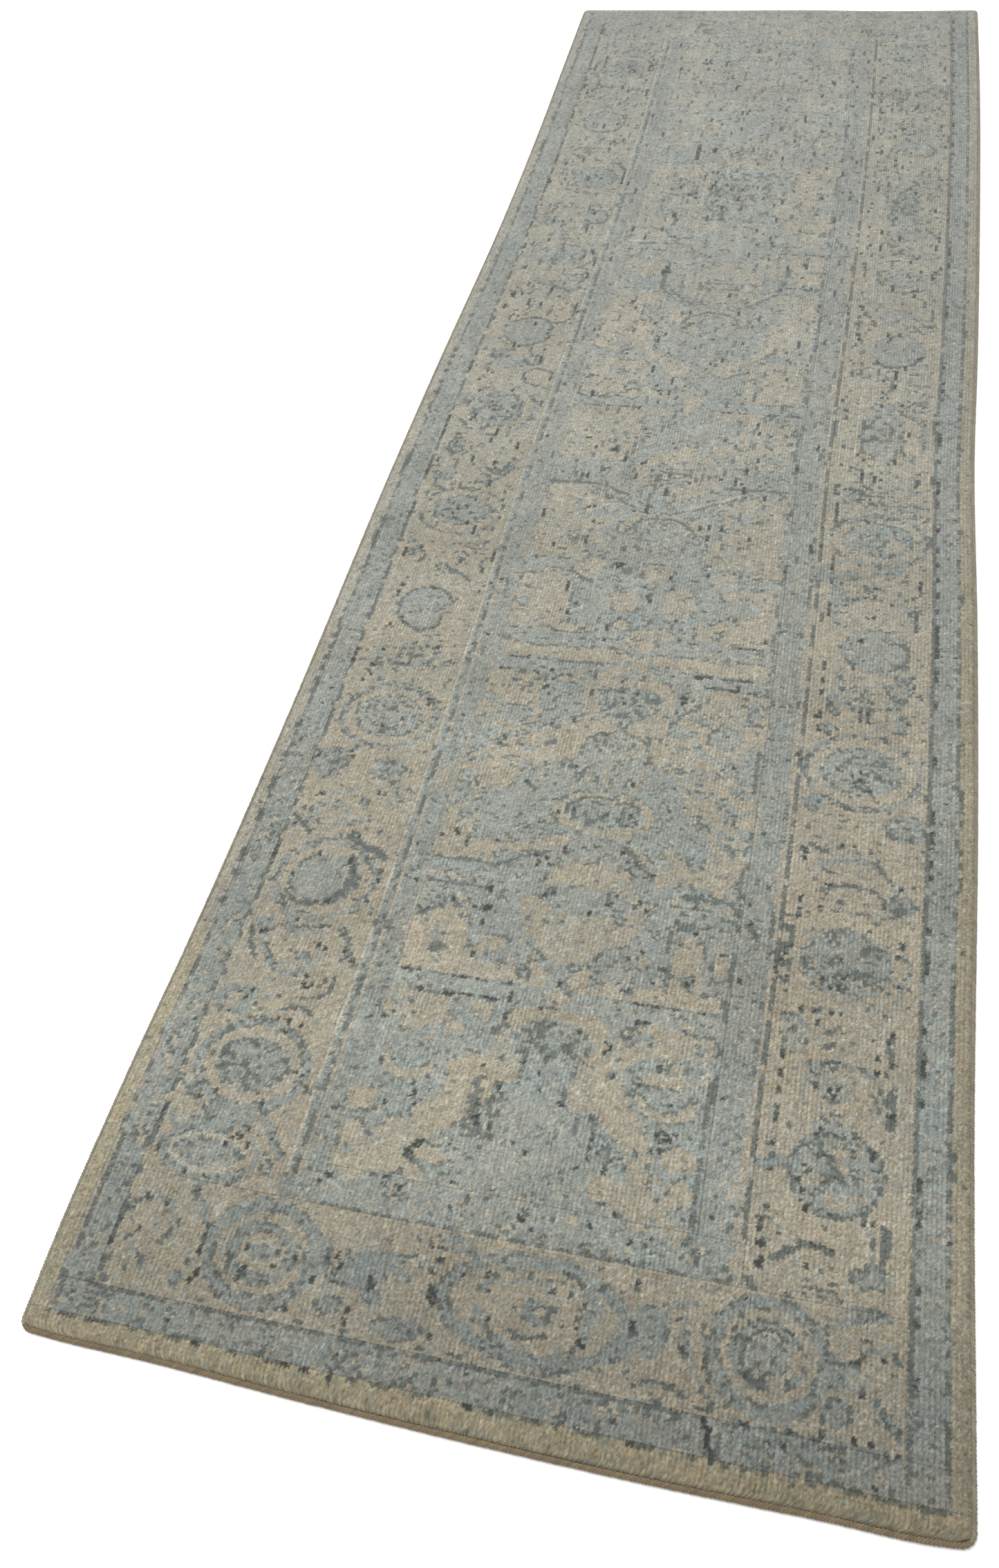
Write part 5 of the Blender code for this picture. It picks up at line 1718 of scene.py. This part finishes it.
def make_pile(node, name, material):
    """The pile over one band of the design."""
    low, high = (np.array(corner, float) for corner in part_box(node))
    low, high = low - CAD_GAP / 2, high + CAD_GAP / 2  # so that neighbours meet on the same line
    i0, i1 = nearest_lines((low[0] - LOW[0]) / MM, (high[0] - LOW[0]) / MM, grid_across[:, 0])
    j0, j1 = nearest_lines((low[1] - LOW[1]) / MM, (high[1] - LOW[1]) / MM, grid_along[0])
    surface = PILE_POINTS[i0:i1 + 1, j0:j1 + 1]
    shades = PILE_COLOURS[i0:i1 + 1, j0:j1 + 1]
    columns, rows = i1 - i0, j1 - j0
    points, faces, places = slab(surface, PILE_BOTTOM)
    border_count = len(points) - shades.shape[0] * shades.shape[1]
    border = places[columns * rows * 4:][:border_count * 4].reshape(-1, 4, 2)[:, 0]
    # Painted shade: the points at the foot of the walls and on the plain face beneath get 0.8 of the colour of the rim
    # above them.
    colours = np.concatenate([shades.reshape(-1, 3), 0.8 * shades[border[:, 0], border[:, 1]]])
    uvs = slab_uvs(places, columns, rows)
    return new_piece(name, points, faces, colours, node, material, uvs, columns * rows)


# ---------------------------------------------------------------------------------------- the back and the hems
NODE_RELIEF = 0.55  # millimetres, how far the knots' backs stand out from the ground
REBATE_END, REBATE_RISE = 30.2, 1.5  # millimetres: near the ends the ground lies over the folded hem


def make_ground(material):
    """The woven ground: rows of knot backs under the rug, raised at both ends where it lies over the hems."""
    across = np.linspace(INSET, WIDE - INSET, 2 * (COLUMNS - 3) + 1)[:, None]
    along = np.linspace(INSET, LONG - INSET, 2 * (ROWS - 4) + 1)[None, :]
    across, along = np.broadcast_arrays(across, along)
    column, row = across / KNOT_ACROSS, along / KNOT_ALONG
    back = (np.abs((column % 0.5) * 2 - 0.5) * 2) ** 2 * 0.6 + (np.abs((row % 1) - 0.5) * 2) ** 2
    rough = dice.normal(0, 0.06, across.shape)
    from_end = np.minimum(along, LONG - along)
    rise = REBATE_RISE * np.clip((REBATE_END - from_end) / 1.5, 0, 1)
    height = 0.05 + np.clip(NODE_RELIEF * back / 1.6 + rough, 0, NODE_RELIEF) + rise
    x, y = on_rug(across, along, corner_inset=INSET)
    surface = np.stack([x, y, height * MM + GROUND_LOW[2]], -1)
    ci = np.clip(column.astype(int), 0, COLUMNS - 1)
    ri = np.clip(row.astype(int), 0, ROWS - 1)
    wool = KNOT_COLOURS[ci, ri] * 0.9
    weft = np.abs((row % 1) - 0.5) > 0.36
    shades = np.where(weft[..., None], BACK_COTTON * dice.normal(0.9, 0.06, across.shape)[..., None], wool)
    points, faces, places = slab(surface, GROUND_HIGH[2], flip=True)
    columns, rows = surface.shape[0] - 1, surface.shape[1] - 1
    extra = len(points) - shades.shape[0] * shades.shape[1]
    colours = np.concatenate([shades.reshape(-1, 3), np.tile(BACK_COTTON, (extra, 1))])
    uvs = slab_uvs(places, columns, rows)
    soft = columns * rows
    return new_piece("ground_cloth", points, faces, colours, "woven_ground", material, uvs, soft)


def make_hem(end, material):
    """A folded end of flat weave, under the rug."""
    low, high = (np.array(corner, float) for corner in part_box(f"folded_hem_{end}"))
    columns = round((high[0] - low[0]) / MM / 1.05)
    rows = round((high[1] - low[1]) / MM / 0.7)
    i, j = np.meshgrid(np.arange(columns + 1), np.arange(rows + 1), indexing="ij")
    across = (low[0] - LOW[0]) / MM + i * (high[0] - low[0]) / MM / columns
    along = (low[1] - LOW[1]) / MM + j * (high[1] - low[1]) / MM / rows
    over_under = np.where((i + j) % 2 == 0, 0.0, 0.22) + dice.normal(0, 0.02, i.shape)
    inner = (rows - j) if end == "near" else j
    fray = 0.35 * smooth_noise(across, 0 * across, 6, 10, 501) * np.clip(1 - inner / 3, 0, 1)
    x, y = on_rug(across, along + fray)
    surface = np.stack([x, y, low[2] + np.clip(over_under, 0, 0.3) * MM], -1)
    points, faces, places = slab(surface, high[2], flip=True)
    shades = BACK_COTTON * (1 - 0.25 * over_under / 0.22 + dice.normal(0, 0.05, i.shape))[..., None]
    extra = len(points) - i.size
    colours = np.clip(np.concatenate([shades.reshape(-1, 3), np.tile(BACK_COTTON, (extra, 1))]), 0.01, 0.9)
    uvs = slab_uvs(places, columns, rows)
    name, node = f"hem_cloth_{end}", f"folded_hem_{end}"
    return new_piece(name, points, faces, colours, node, material, uvs, columns * rows)


# ------------------------------------------------------------------------------------------- cords and overcast
def edge_route(side, inset, spacing):
    """Chart places along one side, from the middle of one corner to the middle of the next."""
    radius = CORNER - inset
    quarter = radius * math.pi / 4
    span = LONG if side in ("left", "right") else WIDE
    straight = span - 2 * CORNER
    total = straight + 2 * quarter
    s = np.linspace(0, total, max(2, round(total / spacing)) + 1)
    before, after = np.clip(quarter - s, 0, None) / radius, np.clip(s - quarter - straight, 0, None) / radius
    turn = before + after
    end = np.where(before > 0, -1.0, 1.0)
    run = CORNER + np.clip(s - quarter, 0, straight) + end * radius * np.sin(turn)
    depth = inset + radius * (1 - np.cos(turn))
    heading = end * turn  # how far the route has turned inwards
    if side == "left":
        return depth, run, s
    if side == "right":
        return WIDE - depth, run, s
    if side == "near":
        return run, depth, s
    return run, LONG - depth, s


def tube(route, radii, spin, sides, low_cap=True):
    """Rings of points round a route of world places. radii is (rings, sides); spin turns each ring, in radians."""
    ahead = np.gradient(route, axis=0)
    ahead /= np.linalg.norm(ahead, axis=1)[:, None]
    up = np.array([0.0, 0.0, 1.0])
    aside = np.cross(ahead, up)
    aside /= np.linalg.norm(aside, axis=1)[:, None]
    angle = np.arange(sides)[None, :] * 2 * math.pi / sides + spin[:, None]
    return (
        route[:, None, :]
        + radii[..., None] * np.cos(angle)[..., None] * aside[:, None, :]
        + radii[..., None] * np.sin(angle)[..., None] * up
    )


def tube_faces(rings, sides, start=0, inside_out=False):
    """Faces between the rings of a tube, with the ring and side of every corner."""
    r, s = np.meshgrid(np.arange(rings - 1), np.arange(sides), indexing="ij")
    r, s = r.ravel()[:, None], s.ravel()[:, None]
    dr, ds = np.array([[0, 0, 1, 1]]), np.array([[0, 1, 1, 0]])
    if inside_out:
        dr, ds = dr[:, ::-1], ds[:, ::-1]
    return start + (r + dr) * sides + (s + ds) % sides, r + dr, s + ds


WRAP_PITCH, WRAP_SAMPLES, WRAP_SIDES = 3.0, 5, 12  # millimetres between turns of the overcasting yarn
WRAP_SLANT = 0.9  # how far a turn leans along the cord on its way round, in turns
WRAP_GROOVE = 0.75
BORE = 2.0


def make_overcast(side, wool, material):
    """The overcasting yarn along one side: a wall round the cord, with a ridge for each turn of yarn."""
    inset = CORD_RADIUS / MM
    across, along, s = edge_route(side, inset, WRAP_PITCH / WRAP_SAMPLES)
    x, y = on_rug(across, along)
    centre = np.stack([x, y, np.full_like(x, CORD_HEIGHT)], -1)
    rings = len(s)
    around = np.arange(WRAP_SIDES)[None, :] / WRAP_SIDES
    seed = ("left", "right", "near", "far").index(side)
    uneven = 0.35 * smooth_noise(s, 0 * s, 9, 10, 600 + seed)
    turn = s[:, None] / WRAP_PITCH + uneven[:, None] + WRAP_SLANT * np.cos(2 * math.pi * around)
    ridge = np.abs((turn % 1) - 0.5) * 2
    wrap = np.floor(turn).astype(int) % 997
    fullness = np.random.default_rng(610 + seed).normal(0, 0.1, 997)[wrap]
    radii = CORD_RADIUS / MM - WRAP_GROOVE * ridge**1.6 + np.clip(fullness, -0.25, 0.2) - 0.02
    outer = tube(centre, radii * MM, np.zeros(rings), WRAP_SIDES)
    outer[..., 2] = np.maximum(outer[..., 2], OVERCAST_LOW[2])
    picked = np.unique(np.r_[0:rings:WRAP_SAMPLES, rings - 1])
    inner = tube(centre, np.full((rings, WRAP_SIDES), BORE * MM), np.zeros(rings), WRAP_SIDES)[picked]
    outside, ring_no, side_no = tube_faces(rings, WRAP_SIDES)
    start = rings * WRAP_SIDES
    inside, bore_ring, bore_side = tube_faces(len(picked), WRAP_SIDES, start, inside_out=True)
    k = np.arange(WRAP_SIDES)
    after = (k + 1) % WRAP_SIDES
    first = np.stack([k, start + k, start + after, after], -1)
    last_outer, last_inner = (rings - 1) * WRAP_SIDES, start + (len(picked) - 1) * WRAP_SIDES
    last = np.stack([last_outer + after, last_inner + after, last_inner + k, last_outer + k], -1)
    faces = np.concatenate([outside, inside, first, last])
    points = np.concatenate([outer.reshape(-1, 3), inner.reshape(-1, 3)])
    # Painted shade: each turn of yarn is darkened by up to 42% towards the grooves between turns.
    shade = np.random.default_rng(620 + seed).normal(1, 0.1, 997)[wrap] * (1 - 0.42 * ridge**2)
    shade = shade * (1 + 0.06 * smooth_noise(s, 0 * s, 60, 10, 630 + seed))[:, None]
    colours = np.clip(wool * shade[..., None], 0.01, 0.9).reshape(-1, 3)
    # The bore inside the cord gets painted shade, 0.6 of the yarn's colour.
    colours = np.concatenate([colours, np.tile(wool * 0.6, (len(points) - len(colours), 1))])
    uvs = folded_strip_uvs(side_no, ring_no, WRAP_SIDES, rings - 1)
    bore_uvs = hidden_strip_uvs(bore_ring / (len(picked) - 1), bore_side / WRAP_SIDES)
    uvs = np.concatenate([uvs, bore_uvs, row_uvs(2 * WRAP_SIDES)])
    packed = (faces.ravel().astype(np.int32), np.full(len(faces), 4))
    name = f"binding_wool_{side}"
    node = f"overcast_{side}"
    return new_piece(name, points, packed, colours, node, material, uvs, len(outside))


def closed_tube(route, radii, spin, sides):
    """Points, faces, texture places and the number of side faces of a tube with capped ends."""
    points = tube(route, radii, spin, sides)
    rings = len(route)
    outside, ring_no, side_no = tube_faces(rings, sides)
    corners = np.concatenate([outside.ravel(), np.arange(sides)[::-1], (rings - 1) * sides + np.arange(sides)])
    sizes = np.concatenate([np.full(len(outside), 4), [sides, sides]])
    angle = np.arange(sides) * 2 * math.pi / sides
    cap = np.stack([0.01 * (1 + np.cos(angle)), 0.007 * (1 + np.sin(angle))], -1)
    uvs = np.concatenate([folded_strip_uvs(side_no, ring_no, sides, rings - 1), cap, cap + (0.1, 0)])
    return points.reshape(-1, 3), (corners.astype(np.int32), sizes), uvs, len(outside)


def make_cord(side, material):
    """The cotton cord inside the overcasting: three plies twisted together."""
    inset = CORD_RADIUS / MM
    across, along, s = edge_route(side, inset, 1.6)
    x, y = on_rug(across, along)
    low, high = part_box(f"core_cord_{side}")
    radius = (high[2] - low[2]) / 2 / MM
    route = np.stack([x, y, np.full_like(x, CORD_HEIGHT)], -1)
    sides = 9
    twist = 2 * math.pi * s / 11
    plies = np.cos(3 * np.arange(sides)[None, :] * 2 * math.pi / sides) * 0.14
    radii = (radius - 0.14 + plies) * np.ones((len(s), 1))
    points, faces, uvs, soft = closed_tube(route, radii * MM, twist, sides)
    # Painted shade: the cord is darker in the grooves between its plies, down to 0.74 there against 1.02 on their
    # crowns.
    shade = dice.normal(1, 0.05, len(points)) * (0.88 + np.tile(plies.ravel(), len(s)))
    colours = np.clip(BACK_COTTON * shade[:, None], 0.01, 0.9)
    name, node = f"warp_cord_{side}", f"core_cord_{side}"
    return new_piece(name, points, faces, colours, node, material, uvs, soft)


def make_hem_thread(end, material):
    """The thread that sews a hem down: a slanted hemming stitch that dips into the cloth."""
    low, high = (np.array(corner, float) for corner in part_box(f"hem_thread_{end}"))
    length = (high[0] - low[0]) / MM
    s = np.linspace(0, length, round(length / 0.9))
    stitch = 7.5
    radius = 0.32
    swing = (high[1] - low[1]) / 2 / MM - radius
    across = (low[0] - LOW[0]) / MM + s
    middle = ((low[1] + high[1]) / 2 - LOW[1]) / MM
    along = middle + swing * np.sin(2 * math.pi * s / stitch)
    x, y = on_rug(across, along)
    rise = (high[2] - low[2]) / 2 - radius * MM
    z = (low[2] + high[2]) / 2 + np.maximum(rise, 0) * np.cos(2 * math.pi * s / stitch)
    sides = 7
    route, radii = np.stack([x, y, z], -1), np.full((len(s), sides), radius * MM)
    points, faces, uvs, soft = closed_tube(route, radii, 2 * math.pi * s / 2.2, sides)
    colours = np.clip(BACK_COTTON * dice.normal(1.05, 0.06, len(points))[:, None], 0.01, 0.9)
    name, node = f"stitch_thread_{end}", f"hem_thread_{end}"
    return new_piece(name, points, faces, colours, node, material, uvs, soft)


# --------------------------------------------------------------------------------------------------- materials
def fibre_material(name, grain, speckle, bump, roughness, sheen):
    """Yarn: the dye it carries, speckled by its fibres, with fine bumps and a soft sheen.

    grain is the size of a fibre's light and dark in metres, speckle how strong it is, from 0 to 1.
    """
    material = bpy.data.materials.new(name)
    material.use_nodes = True
    nodes, links = material.node_tree.nodes, material.node_tree.links
    shader = nodes["Principled BSDF"]
    dye = nodes.new("ShaderNodeAttribute")
    dye.attribute_type, dye.attribute_name = "GEOMETRY", "wool_colour"
    place = nodes.new("ShaderNodeTexCoord")

    def noise(scale, detail, stretch=(1, 1, 1)):
        turn = nodes.new("ShaderNodeMapping")
        turn.inputs["Scale"].default_value = stretch
        links.new(place.outputs["Object"], turn.inputs["Vector"])
        texture = nodes.new("ShaderNodeTexNoise")
        texture.inputs["Scale"].default_value = scale
        texture.inputs["Detail"].default_value = detail
        texture.inputs["Roughness"].default_value = 0.6
        links.new(turn.outputs["Vector"], texture.inputs["Vector"])
        return texture.outputs["Fac"]

    def spread(value, low, high):
        remap = nodes.new("ShaderNodeMapRange")
        remap.inputs["From Min"].default_value, remap.inputs["From Max"].default_value = 0.25, 0.75
        remap.inputs["To Min"].default_value, remap.inputs["To Max"].default_value = low, high
        remap.clamp = False
        links.new(value, remap.inputs["Value"])
        return remap.outputs["Result"]

    def product(a, b):
        times = nodes.new("ShaderNodeMath")
        times.operation = "MULTIPLY"
        links.new(a, times.inputs[0])
        links.new(b, times.inputs[1])
        return times.outputs["Value"]

    fibres = noise(1 / grain, 2.0)
    strands = noise(0.5 / grain, 2.0, (1.6, 0.45, 1.0))
    wear = noise(14.0, 3.0)
    light = product(spread(fibres, 1 - speckle, 1 + speckle), spread(strands, 1 - 0.7 * speckle, 1 + 0.7 * speckle))
    light = product(light, spread(wear, 0.94, 1.06))
    shaded = nodes.new("ShaderNodeVectorMath")
    shaded.operation = "SCALE"
    links.new(dye.outputs["Color"], shaded.inputs[0])
    links.new(light, shaded.inputs["Scale"])
    links.new(shaded.outputs["Vector"], shader.inputs["Base Color"])

    dulled = spread(strands, roughness - 0.07, roughness + 0.07)
    links.new(dulled, shader.inputs["Roughness"])
    raised = nodes.new("ShaderNodeBump")
    raised.inputs["Strength"].default_value = bump
    raised.inputs["Distance"].default_value = 0.4 * grain
    links.new(fibres, raised.inputs["Height"])
    links.new(raised.outputs["Normal"], shader.inputs["Normal"])
    shader.inputs["Specular IOR Level"].default_value = 0.25
    shader.inputs["Sheen Weight"].default_value = sheen
    shader.inputs["Sheen Roughness"].default_value = 0.6
    return material


def make_pieces():
    """Every piece of the rug, each standing for one CAD node."""
    pile_wool = {
        "edge_band": fibre_material("edge_band_wool", 0.0007, 0.34, 0.8, 0.88, 0.12),
        "outer_guard": fibre_material("outer_guard_wool", 0.0007, 0.32, 0.8, 0.88, 0.12),
        "main_border": fibre_material("main_border_wool", 0.0007, 0.32, 0.8, 0.88, 0.12),
        "inner_guard": fibre_material("inner_guard_wool", 0.0007, 0.32, 0.8, 0.88, 0.12),
    }
    for band, wool in pile_wool.items():
        for side in ("near", "far", "left", "right"):
            make_pile(f"{band}_pile_{side}", f"{band}_knots_{side}", wool)
    field_wool = fibre_material("field_wool", 0.0007, 0.32, 0.8, 0.88, 0.12)
    make_pile("field_pile", "field_knots", field_wool)

    warp_cotton = fibre_material("ground_cotton", 0.0008, 0.15, 0.6, 0.85, 0.08)
    cloth = make_ground(warp_cotton)
    cord_cotton = fibre_material("cord_cotton", 0.0008, 0.18, 0.6, 0.82, 0.05)
    binding_wool = fibre_material("binding_wool", 0.0008, 0.22, 0.8, 0.85, 0.1)
    hem_cotton = fibre_material("hem_cotton", 0.0007, 0.16, 0.6, 0.85, 0.08)
    thread_cotton = fibre_material("thread_cotton", 0.0005, 0.16, 0.5, 0.7, 0.05)
    for side in ("left", "right", "near", "far"):
        make_overcast(side, BINDING[side], binding_wool)
        make_cord(side, cord_cotton)
    for end in ("near", "far"):
        make_hem(end, hem_cotton)
        make_hem_thread(end, thread_cotton)
    return cloth


BINDING = {
    "left": linear(150, 142, 122) / EXPOSURE,
    "right": linear(152, 143, 122) / EXPOSURE,
    "near": linear(136, 119, 91) / EXPOSURE,
    "far": linear(158, 154, 138) / EXPOSURE,
}
for leftover in [o for o in bpy.context.scene.objects if o.name in ("Cube", "Light", "Camera")]:
    bpy.data.objects.remove(leftover)
ground_cloth = make_pieces()


# ---------------------------------------------------------------------------------------- floor, lights, camera
def make_floor():
    """A plain pale floor."""
    reach = 8.0
    mesh = bpy.data.meshes.new("studio_floor")
    corners = [(-reach, -reach, 0), (reach, -reach, 0), (reach, reach, 0), (-reach, reach, 0)]
    mesh.from_pydata([(x, y, LOW[2] - 0.0002) for x, y, _ in corners], [], [(0, 1, 2, 3)])
    floor = bpy.data.objects.new("studio_floor", mesh)
    bpy.context.collection.objects.link(floor)
    material = bpy.data.materials.new("pale_floor")
    material.use_nodes = True
    shader = material.node_tree.nodes["Principled BSDF"]
    shader.inputs["Base Color"].default_value = (0.96, 0.96, 0.96, 1)
    shader.inputs["Roughness"].default_value = 0.9
    shader.inputs["Specular IOR Level"].default_value = 0.1
    mesh.materials.append(material)


def make_soft_light(name, place, target, size, power):
    """A square soft light aimed at a place."""
    light = bpy.data.lights.new(name, "AREA")
    light.shape, light.size, light.energy = "SQUARE", size, power
    lamp = bpy.data.objects.new(name, light)
    lamp.location = place
    lamp.rotation_euler = (Vector(target) - Vector(place)).to_track_quat("-Z", "Y").to_euler()
    bpy.context.collection.objects.link(lamp)


def make_sky(strength):
    """Even white light from all round."""
    sky = bpy.data.worlds.new("studio_sky")
    bpy.context.scene.world = sky
    sky.use_nodes = True
    background = sky.node_tree.nodes["Background"]
    background.inputs["Color"].default_value = (1, 1, 1, 1)
    background.inputs["Strength"].default_value = strength


def make_camera():
    """The photograph's viewpoint: standing at the near end, a little right of the middle."""
    lens = bpy.data.cameras.new("camera")
    lens.sensor_width, lens.lens = 36, 29.317
    lens.shift_x, lens.shift_y = -0.00404, -0.00055
    lens.clip_start, lens.clip_end = 0.05, 60
    camera = bpy.data.objects.new("camera", lens)
    camera.location = (0.18141, -1.58053, 1.14994)
    camera.rotation_euler = tuple(math.radians(angle) for angle in (38.2278, 4.8388, 12.6544))
    bpy.context.collection.objects.link(camera)
    bpy.context.scene.camera = camera


make_floor()
make_sky(0.9)
make_soft_light("key_light", (-1.4, -0.3, 4.0), (0, 0, 0), 2.5, 165)
make_soft_light("far_light", (0.6, 2.6, 2.6), (0, 0.9, 0), 2.0, 20)
make_camera()
bpy.context.scene.view_settings.view_transform = "Standard"
